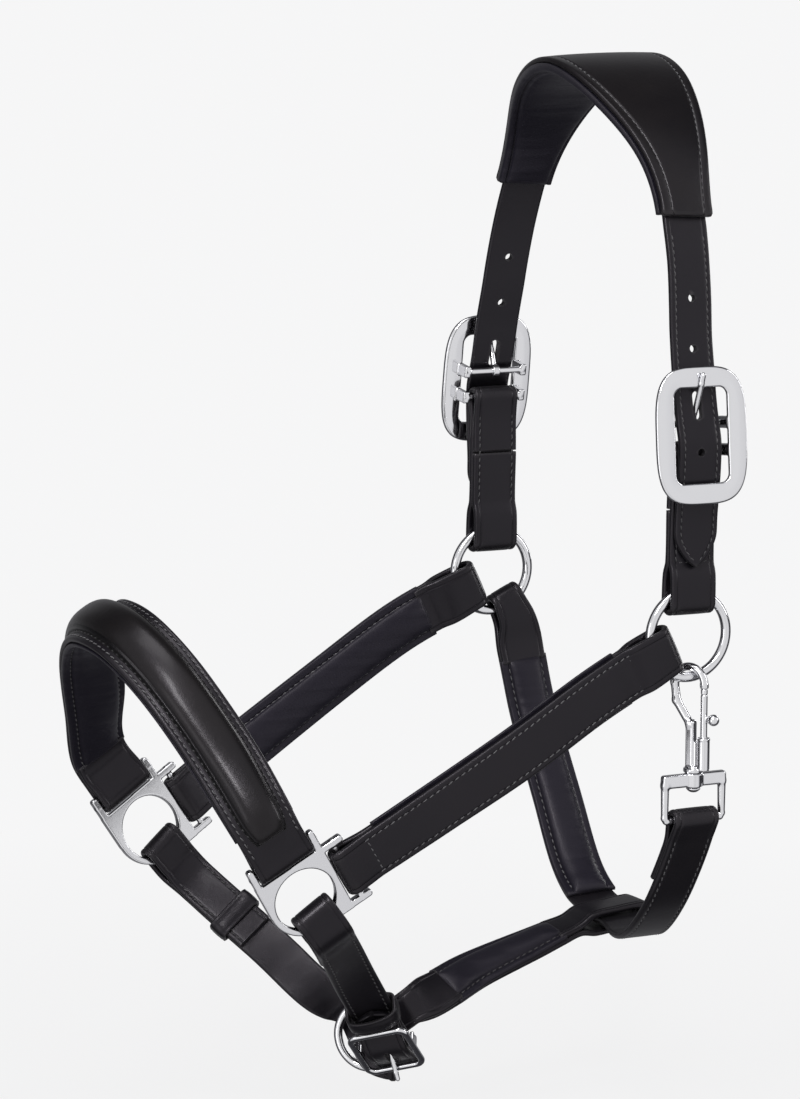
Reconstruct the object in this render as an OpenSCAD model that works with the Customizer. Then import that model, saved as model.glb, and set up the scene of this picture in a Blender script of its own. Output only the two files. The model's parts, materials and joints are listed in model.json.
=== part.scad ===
// Leather headcollar (stable halter) for a full-size horse.
// Frame: millimetres, +Z up, nose towards -X, near (left) side of the horse at -Y.
// Origin: centre of the lead ring under the chin.

/* [Leather] */
// Thickness of the strap leather
leather_t = 3.2; // [2.6:0.1:3.4]
// Width of the crown strap
crown_w = 24; // [22:0.5:25]
// Width of the crown chapes
chape_w = 25; // [23:0.5:26]
// Width of the cheek straps
cheek_w = 26; // [24:0.5:27]
// Width of the chin straps
chin_w = 22; // [20:0.5:23]
// Width of the throat latch
throat_w = 25; // [23:0.5:26]
// Width of the noseband in the middle
nose_w = 34; // [32:1:38]
// Width of the poll pad in the middle
poll_w = 64; // [54:1:70]
// Thickness of the soft padding
pad_t = 5; // [3:0.5:6]

/* [Rings] */
// Centreline radius of the cheek rings
ring_r = 21.5; // [21:0.1:22]
// Wire radius of the cheek rings
ring_wire = 2.5; // [2.2:0.1:2.6]
// Centreline radius of the lead ring
lead_r = 17; // [16.5:0.1:17.5]
// Wire radius of the lead ring
lead_wire = 2.2; // [2:0.1:2.3]

/* [Halter squares] */
// Radius of the round eye
eye_r = 16; // [15.5:0.1:16.2]
// Distance from the eye's centre to the plate's straight edge
plate_half = 19.4; // [19:0.1:19.6]
// Distance from the eye's centre to the strap bars
bar_at = 25.2; // [25.1:0.1:25.8]
// Plate thickness
plate_t = 4; // [3.4:0.1:4.4]

/* [Cheek buckles] */
// Overall width of the frame
buckle_w = 51; // [49:1:53]
// Overall height of the frame
buckle_h = 68; // [66:1:70]
// Thickness of the frame
buckle_t = 3.2; // [2.8:0.1:3.4]
// Pitch of the holes in the crown strap
hole_pitch = 25; // [22:1:26]

/* [Fit on the head] */
// Height of the poll above the lead ring
poll_z = 490; // [482:1:496]
// Half distance between the cheek rings
half_head = 104; // [103:0.5:105]

/* [Hidden] */
$fn = 48;

BLACK = "#1d1b1e";
LINING = "#26232c";
STEEL = "#c9c9cc";

layer = leather_t / 2 + 0.1;  // height of the middle of each layer of a doubled strap
square_bar_r = 1.6;           // bars of the halter squares
buckle_bar_r = 1.75;          // bars of the cheek buckles
chin_bar_r = 1.5;             // bar of the chin buckle
eye_bar_r = 2;                // lower bar of the snap's eye
ring_play = 0.4;              // clearance between a fold and the wire or rim inside it

// ---- lists and vectors
function unit(v) = v / norm(v);
function rev(list) = [for (i = [len(list) - 1:-1:0]) list[i]];
function steps(a, b, n) = [for (i = [0:n]) a + (b - a) * i / n];
function mirror_y(p) = [p[0], -p[1], p[2]];

// ---- base lines
// A strap follows a base line, made from control rows [x, y, z, wx, wy, wz]:
// a point and the direction of the strap's width there.
// On a line, u is the distance along it and v the height above it, out of the strap's face.
function spline(a, b, c, d, t) = 0.5 * (2 * b + (c - a) * t
  + (2 * a - 5 * b + 4 * c - d) * t * t + (3 * b - a - 3 * c + d) * t * t * t);
function smooth(rows, n = 8) = let (last = len(rows) - 1) [
  for (i = [0:last - 1])
    let (before = i > 0 ? rows[i - 1] : 2 * rows[0] - rows[1],
      after = i + 2 <= last ? rows[i + 2] : 2 * rows[last] - rows[last - 1])
    for (k = [0:n - 1]) spline(before, rows[i], rows[i + 1], after, k / n),
  rows[last]];
function arc_lengths(rows) = [
  for (i = 0, a = 0; i < len(rows);
    a = i + 1 < len(rows) ? a + norm([for (k = [0:2]) rows[i + 1][k] - rows[i][k]]) : a,
    i = i + 1) a];
// A base line is [length, six tables of [u, value]].
function base_line(rows) = let (fine = smooth(rows), us = arc_lengths(fine))
  [us[len(us) - 1], [for (k = [0:5]) [for (i = [0:len(fine) - 1]) [us[i], fine[i][k]]]]];
// Rows for a line that runs from the near side over a middle row to the far side.
function both_sides(half, middle) = concat(half, [middle],
  [for (p = rev(half)) [p[0], -p[1], p[2], p[3], -p[4], p[5]]]);

function values(line, u, first) = [for (k = [0:2]) lookup(u, line[1][first + k])];
function along(line, u) = let (a = max(0, min(line[0] - 1, u - 0.5)))
  unit(values(line, a + 1, 0) - values(line, a, 0));
// Point at u; the line carries on straight past its ends.
function point_at(line, u) = let (inside = max(0, min(line[0], u)))
  u == inside ? values(line, u, 0) : values(line, inside, 0) + (u - inside) * along(line, inside);
function across(line, u) = let (w = values(line, u, 3), t = along(line, u))
  unit(w - (w * t) * t);
function outward(line, u) = cross(across(line, u), along(line, u));
function place(line, u, v, x) =
  point_at(line, u) + v * outward(line, u) + x * across(line, u);

module frame(x, y, z, origin)
  multmatrix([for (k = [0:2]) [x[k], y[k], z[k], origin[k]], [0, 0, 0, 1]]) children();
// Frame at u: x along the width, y along the strap, z out of the strap's face.
module at(line, u)
  frame(across(line, u), along(line, u), outward(line, u), point_at(line, u)) children();
module mirrored() { mirror([0, 1, 0]) children(); }

// ---- solids along a base line
// Skins a list of sections that have equal numbers of corners.
module loft(sections) {
  m = len(sections[0]);
  n = len(sections);
  end = m * (n - 1);
  polyhedron([for (s = sections) each s], [
    for (i = [0:n - 2]) for (k = [0:m - 1])
      let (a = m * i + k, b = m * i + (k + 1) % m) each [[a, b, b + m], [a, b + m, a + m]],
    for (k = [1:m - 2]) [0, k + 1, k],
    for (k = [1:m - 2]) [end, end + k, end + k + 1]]);
}
// Profile points are [x across the width, v].
function section(line, u, profile) = [for (p = profile) place(line, u, p[1], p[0])];
function normal_2d(path, i) =
  let (a = path[max(0, i - 1)], b = path[min(len(path) - 1, i + 1)],
    d = unit([b[0] - a[0], b[1] - a[1]])) [-d[1], d[0]];
// A strip of leather; path is its middle layer as [u, v, half width].
module strip(line, path, thick = leather_t) loft([
  for (i = [0:len(path) - 1])
    let (q = path[i], m = normal_2d(path, i) * thick / 2, h = q[2]) [
      place(line, q[0] - m[0], q[1] - m[1], -h), place(line, q[0] - m[0], q[1] - m[1], h),
      place(line, q[0] + m[0], q[1] + m[1], h), place(line, q[0] + m[0], q[1] + m[1], -h)]]);
// Padding on the inner side, crowned towards the head.
// It keeps to the strap's own stations between its ends, so the two surfaces stay parallel.
module padding(line, start, end, half, stations, top = -0.25) {
  edge_t = 1.5;
  loft([
    for (u = concat([start], [for (s = stations) if (s > start + 2 && s < end - 2) s], [end]))
      let (f = min(1, min(u - start, end - u) / 10), w = half - 2.5 + 2.5 * f,
        low = top - edge_t - (pad_t - edge_t) * f, edge = top - (top - low) * 0.65)
      section(line, u,
        [[-w, top], [-w, edge], [-w * 0.6, low], [w * 0.6, low], [w, edge], [w, top]])]);
}

// ---- pieces of a strip's path, as [u, v, half width]
function flat(us, v, h) = [for (u = us) [u, v, h]];
// Half turn from the upper to the lower layer; dir is the way it bulges along the line.
// A ring curves inside a fold, so there the turn starts some way (deep) past u.
function wrap(u, dir, inside, deep, h) = let (r = inside + leather_t / 2)
  [for (i = [0:8]) let (f = 90 - 180 * i / 8) [u + dir * (deep + r * cos(f)), r * sin(f), h]];
// Start of a doubled strap: lower layer along tail, a neck, the bend, and back on top.
function loop_start(tail, neck, bend, h) = concat(flat(tail, -layer, h),
  [[neck[0], -neck[1], neck[2]]], rev(bend), [neck, [tail[len(tail) - 1], layer, h]]);
// Start round a bar of a halter square.
function bar_start(h) = loop_start(tail = [24, 14], neck = [6, 2.8, h],
  bend = wrap(0, -1, square_bar_r + 0.3, 0, h), h = h);
function far_end(path, length) = [for (p = rev(path)) [length - p[0], p[1], p[2]]];

// ---- near side places; the far side is its mirror image
ring_at = [122.7, -half_head, 214];
square_at = [-81.7, -90, 97.7];
square_x = unit([0.854, -0.13, 0.519]);                     // along the noseband bar
square_z = unit(cross(square_x, [-0.519, -0.13, 0.854]));   // outwards
square_y = cross(square_z, square_x);                       // along the cheek bar
function on_square(x, y, z) = square_at + x * square_x + y * square_y + z * square_z;

// Crown line: top of the near ring, over the poll, top of the far ring.
crown = base_line(both_sides([
  [ring_at[0], -half_head, ring_at[2] + ring_r, 1, 0, 0],
  [123.2, -104, 278, 1, 0, 0],
  [123.6, -105, 319.5, 1, 0, 0],
  [124.6, -102, 355, 1, 0.02, 0],
  [128, -91, 405, 1, 0.06, 0],
  [130.5, -69.5, 450, 1, 0.05, 0.02],
  [129.5, -37, 479, 1, 0.02, 0.02]],
  [128.5, 0, poll_z, 1, 0, 0]));
crown_l = crown[0];
tongue_u = 84.1;                // cheek buckle's tongue bar
chape_u = tongue_u - 13.5;      // cheek buckle's chape bar
poll_u = 188;                   // start of the poll pad

// Cheek line: the square's cheek bar to the cheek ring.
cheek = base_line([
  concat(on_square(bar_at, 0, 0), -square_y),
  concat(on_square(bar_at + 30, 0, 1), -square_y),
  [25, -105.5, 161, 0.5, 0, -0.86],
  [68, -106.5, 186.8, 0.52, 0, -0.85],
  concat(ring_at + ring_r * [-0.88, 0, -0.475], [0.475, 0, -0.88])]);
cheek_l = cheek[0];
cheek_steps = steps(24, cheek_l - 26, 12);

// Noseband line: near noseband bar, over the nose, far bar.
nose = base_line(both_sides([
  concat(on_square(0, bar_at, 0), square_x),
  concat(on_square(0, bar_at + 24, 0), square_x),
  [-119, -74.5, 169.5, 0.854, 0.05, 0.52],
  [-133, -50, 200, 0.84, 0.05, 0.53],
  [-142, -24.5, 217.5, 0.85, 0.02, 0.52]],
  [-145, 0, 222.3, 0.854, 0, 0.52]));
nose_l = nose[0];
nose_steps = steps(24, nose_l - 24, 72);

// Throat line: far ring, under the throat, up to the snap's eye on the near side.
snap_x = 125.5;                 // the snap's upright axis
snap_y = -half_head - 2.4;
eye_z = 121;                    // lower bar of the snap's eye
throat = base_line([
  [132.6, half_head, 194.9, 0.9, 0, 0.46],
  [137.2, 103.2, 184, 0.93, 0, 0.38],
  [139.6, 100.5, 166, 1, 0, 0.15],
  [142, 92, 138, 1, 0, 0.1],
  [144.3, 70, 97.5, 1, -0.1, 0.05],
  [143.2, 44, 63.5, 0.98, -0.15, 0.05],
  [141, 14, 49.8, 0.99, -0.12, 0.08],
  [139, -14, 48.6, 0.99, -0.08, 0.08],
  [130.5, -47, 51.2, 0.97, 0, 0],
  [124.8, -79, 73.4, 1, 0, 0],
  [snap_x, -99, 104, 1, 0, 0],
  [snap_x, snap_y, eye_z, 1, 0, 0]]);
throat_l = throat[0];
throat_mid = lookup(0, [for (r = rev(throat[1][1])) [r[1], r[0]]]);  // u where y is 0
throat_steps = steps(30, throat_mid - 30, 12);

// Lead ring's axes: through it, out to the jaw strap's fold, and along the wire there.
lead_axis = unit([-0.682, -0.724, 0.103]);
lead_out = unit(cross(cross(lead_axis, [0.62, -0.498, 0.594]), lead_axis));
lead_side = cross(lead_axis, lead_out);
function on_lead(out, side, axial) = out * lead_out + side * lead_side + axial * lead_axis;

// Jaw line: lead ring back to the throat latch.
jaw = base_line([
  concat(on_lead(lead_r, 0, 0), lead_side),
  concat(on_lead(lead_r + 11, 0, 0), lead_side),
  [36, -10.5, 22, -0.22, 0.76, 0.6],
  [58, -3, 28, -0.12, 0.88, 0.45],
  [92, 0, 37.5, 0, 0.97, 0.25],
  [118, 0, 45.5, 0, 1, 0.05],
  [139.6, 0, 48.5, 0, 1, 0],
  [158, 0, 50.1, 0, 1, 0]]);
jaw_loop = jaw[0] - 18.5;       // where the throat latch passes through the jaw strap
jaw_steps = steps(32, jaw_loop - 24, 8);

// Chin lines: each square's eye down to the chin buckle.
chin_start = on_square(1, -17.7, 0);
chin_next = on_square(2, -27, -0.6);
near_chin = base_line([
  concat(chin_start, -square_x),
  concat(chin_next, -square_x),
  [-54, -72, 64.5, -0.7, 0.2, -0.66],
  [-35, -50.5, 44, -0.62, 0.4, -0.6],
  [-17, -35.5, 22.9, -0.5, 0.64, -0.55],
  [-6.6, -29.3, 6.7, -0.47, 0.69, -0.54],
  [3.9, -24, -9.5, -0.47, 0.69, -0.54]]);
near_chin_l = near_chin[0];
chin_bar = near_chin_l - 16;    // chin buckle's bar
// The far strap's path over the near one: [u past the near line's end, v, x].
chin_overlap = [[1.2, -0.4, 0.5], [-3, 1.5, 0], [-9, 4.4, 0], [-16, 7, 0], [-24, 6.2, 0],
  [-33, 5.4, 0], [-45, 5.4, 0]];
far_chin = base_line([
  concat(mirror_y(chin_start), mirror_y(square_x)),
  concat(mirror_y(chin_next), mirror_y(square_x)),
  [-55, 71, 63, 0.7, 0.08, 0.7],
  [-36, 46, 41, 0.71, 0.05, 0.68],
  [-20, 23, 20.5, 0.7, -0.05, 0.67],
  concat(on_lead(-3.5, 17, -6.5), lead_out),
  concat(on_lead(-2.3, 1, 0.5), lead_out),
  concat(on_lead(-1.6, -10, 7), lead_out),
  concat(on_lead(3, -16.5, 8.3), lead_out),
  concat(place(near_chin, near_chin_l + 3.6, -4.4, 1.8), [0.52, -0.64, 0.55]),
  for (p = chin_overlap) let (u = near_chin_l + p[0])
    concat(place(near_chin, u, p[1], p[2]), -across(near_chin, u))]);
far_chin_l = far_chin[0];

// ---- crown and poll
// Rounded slot through a strap, along its length.
module slot(length, r) {
  for (y = [-length / 2, length / 2]) translate([0, y, -15]) cylinder(r = r, h = 30);
  translate([-r, -length / 2, -15]) cube([2 * r, length, 30]);
}
module crown_strap() color(BLACK) difference() {
  h = crown_w / 2;
  // [u from the tongue bar, v, half width], from the strap's tip up
  tip = [for (p = [[-70, 5.8, 0.6], [-64, 5.4, 6.5], [-57, 5.2, h], [-46, 5.45, h],
      [-34, 6.3, h], [-24, 6.9, h], [-15, 7.0, h], [-8, 6.55, h], [0, 4.1, h], [8, 1.9, h],
      [16, 0.4, h], [25, -0.5, h], [34, -1.4, h], [46, -2.2, h]])
    [tongue_u + p[0], p[1], p[2]]];
  strip(crown, concat(tip, flat(steps(tongue_u + 58, crown_l - tongue_u - 58, 34), -2.2, h),
    far_end(tip, crown_l)));
  // The tongue's hole is a slot; the others are round.
  for (side = [1, -1]) {
    hole_u = side > 0 ? tongue_u + 12 : crown_l - tongue_u - 12;
    at(crown, hole_u - side * 2.8) slot(length = 9.2, r = 2.3);
    for (k = [-1, 1, 2]) at(crown, hole_u + side * k * hole_pitch)
      translate([0, 0, -15]) cylinder(r = 2.2, h = 30);
  }
}

// Half width of the poll pad: wide in the middle, near the strap's width at its ends.
function poll_half(u) =
  let (end = 14.5, f = sin(180 * max(0, min(1, (u - poll_u) / (crown_l - 2 * poll_u)))))
  end + (poll_w / 2 - end) * f * f * (1.3 - 0.3 * f * f);
module poll_layer(start, v, extra, thick)
  strip(crown, [for (u = steps(start, crown_l - start, 30)) [u, v, poll_half(u) + extra]], thick);
module poll_pad_cover() color(BLACK) poll_layer(start = poll_u, v = 1.3, extra = 0, thick = 3);
module poll_pad_lining() color(LINING)
  poll_layer(start = poll_u - 6, v = -4.1 - pad_t / 2, extra = 1, thick = pad_t);

// Chape: a closed loop round the buckle's chape bar and the cheek ring.
module crown_chape() color(BLACK) {
  h = chape_w / 2;
  strip(crown, concat(
    [[42, -layer, h], [chape_u - 14, -layer, h], [chape_u - 6, -2.6, h]],
    rev(wrap(chape_u, 1, buckle_bar_r + 0.25, 0, h)),
    [[chape_u - 6, 2.6, h]],
    flat([chape_u - 14, 48, 40, 32, 24, 15.5], layer, h),
    [[9, 3.9, h]], wrap(0, -1, ring_wire + ring_play, 5.2, h), [[9, -3.9, h]],
    flat([15.5, 41], -layer, h)));
}

// ---- cheeks
// Folded round the square's bar and round the ring.
module cheek_strap() color(BLACK) {
  h = cheek_w / 2;
  strip(cheek, concat(bar_start(h),
    flat(concat(cheek_steps, [cheek_l - 16]), layer, h),
    [[cheek_l - 9, 3.8, h]],
    wrap(cheek_l, 1, ring_wire + ring_play, 6.4, h - 0.8),
    [[cheek_l - 9, -3.8, h]],
    flat([cheek_l - 16, cheek_l - 24], -layer, h)));
}
module cheek_padding() color(LINING)
  padding(cheek, 27, cheek_l - 27, cheek_w / 2 + 1.2, cheek_steps);

// ---- noseband
nose_end_h = 15.3;              // half width at the squares
function nose_half(u) = let (f = min(1, min(u, nose_l - u) / 70))
  nose_end_h + (nose_w / 2 - nose_end_h) * f * f * (3 - 2 * f);
module noseband_strap() color(BLACK) {
  end = bar_start(nose_end_h);
  strip(nose, concat(end, [for (u = nose_steps) [u, layer, nose_half(u)]],
    far_end(end, nose_l)));
}
// Rounded roll on the outer face, tapering at its ends.
module noseband_roll() color(BLACK) {
  start = 17;
  low = layer * 2 + 0.25;
  loft([
    for (u = concat([start, 20.5], nose_steps, [nose_l - 20.5, nose_l - start]))
      let (f = min(1, min(u - start, nose_l - start - u) / 10),
        w = nose_half(u) - 5.5 - 2 * (1 - f), high = layer * 2 + 1 + 5 * sqrt(max(0, f)),
        side = low + (high - low) * 0.35, shoulder = low + (high - low) * 0.82)
      section(nose, u, [[-w, low], [w, low], [w, side], [w * 0.72, shoulder],
        [w * 0.3, high], [-w * 0.3, high], [-w * 0.72, shoulder], [-w, side]])]);
}
module noseband_lining() color(LINING)
  padding(nose, 27, nose_l - 27, nose_w / 2 - 0.6, nose_steps, top = -0.4);

// ---- chin straps
// Each is folded over the lower rim of a square's eye. The near one carries the buckle;
// the far one runs through the lead ring to it.
function rim_start(tail, h) = loop_start(tail = tail, neck = [8, 3.9, h],
  bend = wrap(0, -1, 2.4 + ring_play, 6, h), h = h);
// 1 where the far chin strap goes through the lead ring, 0 away from it.
function ring_near(u) = max(0, min(1, (26 - norm(point_at(far_chin, u))) / 8));
module far_chin_strap() color(BLACK) difference() {
  h = chin_w / 2;
  strip(far_chin, concat(rim_start([62, 51, 40, 30, 20], h),
    flat([30, 40, 51, 62], layer, h), [[74, 1, h], [86, 0, h]],
    [for (u = steps(92, far_chin_l - 8, 44)) [u, 0, h - 1.5 * ring_near(u)]],
    [[far_chin_l - 4, 0, h - 3], [far_chin_l - 1, 0, h - 7.5]]));
  // slot for the tongue
  at(near_chin, chin_bar + 6) translate([-2, -6, -8]) cube([4, 11.5, 24]);
}
module near_chin_strap() color(BLACK) difference() {
  h = chin_w / 2;
  strip(near_chin, concat(rim_start([34, 27, 20], h),
    flat(steps(27, chin_bar - 10, 18), layer, h),
    [[chin_bar - 5, 2.6, h]],
    wrap(chin_bar, 1, chin_bar_r + 0.35, 0, h),
    [[chin_bar - 5, -2.6, h]],
    flat([chin_bar - 10, chin_bar - 30], -layer, h)));
  // slot for the tongue
  at(near_chin, chin_bar) translate([-2, -4, -9]) cube([4, 16, 18]);
}
// Rectangular leather band round a strap; low and high bound its opening.
module loop_band(line, u, half, low, high, length) {
  t = 1.8;
  at(line, u) translate([0, length / 2, 0]) rotate([90, 0, 0])
    linear_extrude(length) difference() {
      translate([-half - t, low - t]) square([2 * half + 2 * t, high - low + 2 * t]);
      translate([-half, low]) square([2 * half, high - low]);
    }
}
module chin_runner() color(BLACK) loop_band(far_chin, u = 48,
  half = chin_w / 2 + 0.4, low = -3.7, high = 3.7, length = 10);
module chin_buckle_keeper() color(BLACK) loop_band(near_chin, u = chin_bar - 24,
  half = chin_w / 2 + 0.5, low = -3.7, high = 7.9, length = 9);

// ---- jaw and throat
// Folded round the lead ring; its back end opens into a loop for the throat latch.
module jaw_strap() color(BLACK) {
  h = 11;
  open = 4.6;                   // height of the loop's layers
  strip(jaw, concat(
    loop_start(tail = [34, 20], neck = [9, 3.8, 9.2],
      bend = wrap(0, -1, lead_wire + ring_play, 3.8, 9), h = h),
    flat(jaw_steps, layer, h), flat([jaw_loop - 15, jaw_loop], open, h),
    wrap(jaw_loop + 13, 1, open - leather_t / 2, 0, h),
    flat([jaw_loop, jaw_loop - 15], -open, h),
    flat([jaw_loop - 24, jaw_loop - 36], -layer, h)));
}
module jaw_padding() color(LINING) padding(jaw, 37, jaw_loop - 39, 11.8, jaw_steps);
// Narrowed round the far ring, single through the jaw loop, folded round the snap's eye.
module throat_strap() color(BLACK) {
  h = throat_w / 2;
  strip(throat, concat(
    loop_start(tail = [32, 20], neck = [9, 3.8, 10.6],
      bend = wrap(0, -1, ring_wire + ring_play, 3.1, 8.9), h = h),
    flat(throat_steps, layer, h),
    flat([throat_mid - 16, throat_mid, throat_mid + 16], 0, h),
    flat(concat([throat_mid + 30], steps(throat_mid + 42, throat_l - 20, 8)), layer, h),
    [[throat_l - 11, 1.9, h], [throat_l - 5, 3.1, h]],
    wrap(throat_l, 1, eye_bar_r + 0.3, 0, h),
    [[throat_l - 5, -3.1, h], [throat_l - 11, -1.9, h]],
    flat([throat_l - 20, throat_l - 38], -layer, h)));
}
module throat_padding() color(LINING)
  padding(throat, 35, throat_mid - 32, throat_w / 2 + 1, throat_steps);

// ---- rings
module ring(r, wire) color(STEEL) rotate_extrude() translate([r, 0]) circle(wire);
module cheek_ring() translate(ring_at) rotate([90, 0, 0]) ring(ring_r, ring_wire);
module lead_ring() {
  x = unit(cross([0, 1, 0], lead_axis));
  frame(x, cross(lead_axis, x), lead_axis, [0, 0, 0]) ring(lead_r, lead_wire);
}

// ---- halter square: a plate with a round eye, two open sides with bars, horns past the bars
module halter_square() color(STEEL) frame(square_x, square_y, square_z, square_at) {
  a = plate_half;
  rim = 3.6;                    // width of the horns
  horn = 30.5;                  // reach of the horns from the eye's centre
  difference() {
    union() {
      translate([0, 0, -plate_t / 2]) cylinder(r = a, h = plate_t);
      // plate corners and horns: [x, y, x size, y size]
      for (c = [[0, 0, a, a], [-a, 0, rim, horn], [-a, 0, a + 1, a],
          [a - rim, 1, rim, horn - 1], [0, -a, horn, rim], [0, -a, a, a + 1],
          [1, a - rim, horn - 1, rim]])
        translate([c[0], c[1], -plate_t / 2]) cube([c[2], c[3], plate_t]);
      translate([-a + 1, bar_at, 0]) rotate([0, 90, 0])
        cylinder(r = square_bar_r, h = 2 * a - 2);
      translate([bar_at, a - 1, 0]) rotate([90, 0, 0])
        cylinder(r = square_bar_r, h = 2 * a - 2);
    }
    translate([0, 0, -plate_t]) cylinder(r = eye_r, h = 2 * plate_t);
  }
}

// ---- buckles
module rounded(w, h, r, t) linear_extrude(t) union() {
  square([w - 2 * r, h], center = true);
  square([w, h - 2 * r], center = true);
  for (x = [-1, 1], y = [-1, 1]) translate([x * (w / 2 - r), y * (h / 2 - r)]) circle(r);
}
// size is [width, height, thickness]; corners are the outer and inner radii.
// bars lists [u, v, top of the lugs that carry the bar].
module buckle_frame(line, u, v, tilt, size, corners, rim, bar_r, bars, lug_w) color(STEEL) {
  at(line, u) translate([0, 0, v]) rotate([tilt, 0, 0]) difference() {
    rounded(size[0], size[1], corners[0], size[2]);
    translate([0, 0, -1])
      rounded(size[0] - 2 * rim, size[1] - 2 * rim, corners[1], size[2] + 2);
  }
  inner = size[0] / 2 - rim;
  for (b = bars) {
    at(line, b[0]) translate([0, 0, b[1]]) rotate([0, 90, 0])
      translate([0, 0, -inner - 1]) cylinder(r = bar_r, h = 2 * inner + 2);
    for (x = [inner - 0.4, -inner + 0.4 - lug_w])
      at(line, b[0]) translate([x, -3.2, b[1] - bar_r]) cube([lug_w, 6.4, b[2] - b[1] + bar_r]);
  }
}
module tongue(line, u, v, tilt, length, r, bar_r, eye, eye_w) color(STEEL)
  at(line, u) translate([0, 0, v]) difference() {
    union() {
      rotate([0, 90, 0]) translate([0, 0, -eye_w / 2]) cylinder(r = eye, h = eye_w);
      rotate([tilt, 0, 0]) rotate([-90, 0, 0]) cylinder(r = r, h = length);
    }
    rotate([0, 90, 0]) translate([0, 0, -eye_w]) cylinder(r = bar_r + 0.12, h = 2 * eye_w);
  }

tongue_v = -1.5;
tongue_tilt = 22.5;
tongue_r = 1.5;
// The tongue lies in a groove across the top of the frame.
module cheek_buckle_frame() color(STEEL) difference() {
  opening = 30;
  buckle_frame(crown, u = tongue_u - 5, v = 6.3, tilt = -6.6,
    size = [buckle_w, buckle_h, buckle_t], corners = [17, 6], rim = (buckle_w - opening) / 2,
    bar_r = buckle_bar_r, bars = [[tongue_u, tongue_v, 7.5], [chape_u, 0, 9]], lug_w = 3.6);
  at(crown, tongue_u) translate([0, 0, tongue_v]) rotate([tongue_tilt, 0, 0])
    rotate([-90, 0, 0]) translate([0, 0, 12]) cylinder(r = tongue_r + 0.16, h = 24);
}
module cheek_buckle_tongue() tongue(crown, u = tongue_u, v = tongue_v, tilt = tongue_tilt,
  length = 28.6, r = tongue_r, bar_r = buckle_bar_r, eye = 3.1, eye_w = 3.6);
module chin_buckle_frame() buckle_frame(near_chin, u = near_chin_l - 16.5, v = 5.9,
  tilt = -9.4, size = [32, 34, 2.6], corners = [6, 3], rim = 3.2,
  bar_r = chin_bar_r, bars = [[chin_bar, 0, 8]], lug_w = 1.9);
module chin_buckle_tongue() tongue(near_chin, u = chin_bar, v = 0, tilt = 30.4,
  length = 21.5, r = 1.3, bar_r = chin_bar_r, eye = 2.7, eye_w = 3.2);

// ---- trigger snap on the throat latch
// Local x runs from the bolt towards the hook's back; z stays the height.
snap_dir = [-0.5, 0.866, 0];
bolt_x = -5.5;
hook_z = 189.2;                 // centre of the hook's top arc
module snap_local()
  frame(snap_dir, [-snap_dir[1], snap_dir[0], 0], [0, 0, 1], [snap_x, snap_y, 0]) children();
module post(x, z, r, h) translate([x, 0, z]) cylinder(r = r, h = h);
module rod(p, q, r) {
  d = q - p;
  l = norm(d);
  translate(p) rotate([0, acos(d[2] / l), atan2(d[1], d[0])]) cylinder(r = r, h = l);
  translate(p) sphere(r);
}
module snap_hook() color(STEEL) snap_local() difference() {
  union() {
    // top arc
    difference() {
      translate([3, 0, hook_z]) rotate([90, 0, 0])
        rotate_extrude() translate([8.5, 0]) circle(2);
      translate([-20, -10, hook_z - 30]) cube([40, 20, 30]);
    }
    // back and shank
    rod([11.5, 0, hook_z - 0.3], [10.2, 0, 180], 2.3);
    rod([10.2, 0, 180], [2.5, 0, 169], 2.25);
    translate([-0.6, -2.3, 146]) cube([4.6, 4.6, 25]);
    // bolt housing and its web
    post(bolt_x, 146, 3.1, 16.5);
    translate([bolt_x, -1.4, 148]) cube([7, 2.8, 12]);
    // collar
    post(0, 144.6, 5.2, 2.4);
    // tip of the hook, above the bolt
    post(bolt_x, 187.6, 2.2, 2.4);
    // swivel pin and its head
    post(0, 136, 1.9, 10);
    post(0, 134.6, 3.6, 2.2);
  }
  post(bolt_x, 148.5, 1.83, 16);
}
// Bolt with a thumb knob on a side pin.
module snap_bolt() color(STEEL) snap_local() {
  knob_z = 172;
  post(bolt_x, 161, 1.75, 26.3);
  translate([bolt_x, 0, knob_z]) rotate([0, -90, 0]) cylinder(r = 1.2, h = 5);
  translate([-11, 0, knob_z]) sphere(2.9);
}
// The spring is a plain sleeve.
module snap_spring() color(STEEL) snap_local() translate([bolt_x, 0, 148.6]) difference() {
  cylinder(r = 1.7, h = 12.2);
  translate([0, 0, -1]) cylinder(r = 0.9, h = 15);
}
// Top plate with the swivel hole, two legs and the lower bar.
module snap_eye() color(STEEL) translate([snap_x, snap_y, 0]) difference() {
  leg_x = 16.2;
  union() {
    translate([-18, -2.4, 137.4]) cube([36, 4.8, 6.8]);
    for (s = [-1, 1]) post(s * leg_x, eye_z, 1.9, 18);
    post(0, 137.2, 4.4, 7.1);
    translate([-leg_x, 0, eye_z]) rotate([0, 90, 0]) cylinder(r = eye_bar_r, h = 2 * leg_x);
  }
  post(0, 130, 2.1, 20);
}

crown_strap();
poll_pad_cover();
poll_pad_lining();
crown_chape();  // near_crown_chape
mirrored() crown_chape();  // far_crown_chape
cheek_buckle_frame();  // near_buckle_frame
mirrored() cheek_buckle_frame();  // far_buckle_frame
cheek_buckle_tongue();  // near_buckle_tongue
mirrored() cheek_buckle_tongue();  // far_buckle_tongue
cheek_ring();  // near_cheek_ring
mirrored() cheek_ring();  // far_cheek_ring
cheek_strap();  // near_cheek_strap
mirrored() cheek_strap();  // far_cheek_strap
cheek_padding();  // near_cheek_padding
mirrored() cheek_padding();  // far_cheek_padding
halter_square();  // near_halter_square
mirrored() halter_square();  // far_halter_square
noseband_strap();
noseband_roll();
noseband_lining();
far_chin_strap();
near_chin_strap();
chin_runner();
chin_buckle_frame();
chin_buckle_tongue();
chin_buckle_keeper();
lead_ring();
jaw_strap();
jaw_padding();
throat_strap();
throat_padding();
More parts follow.
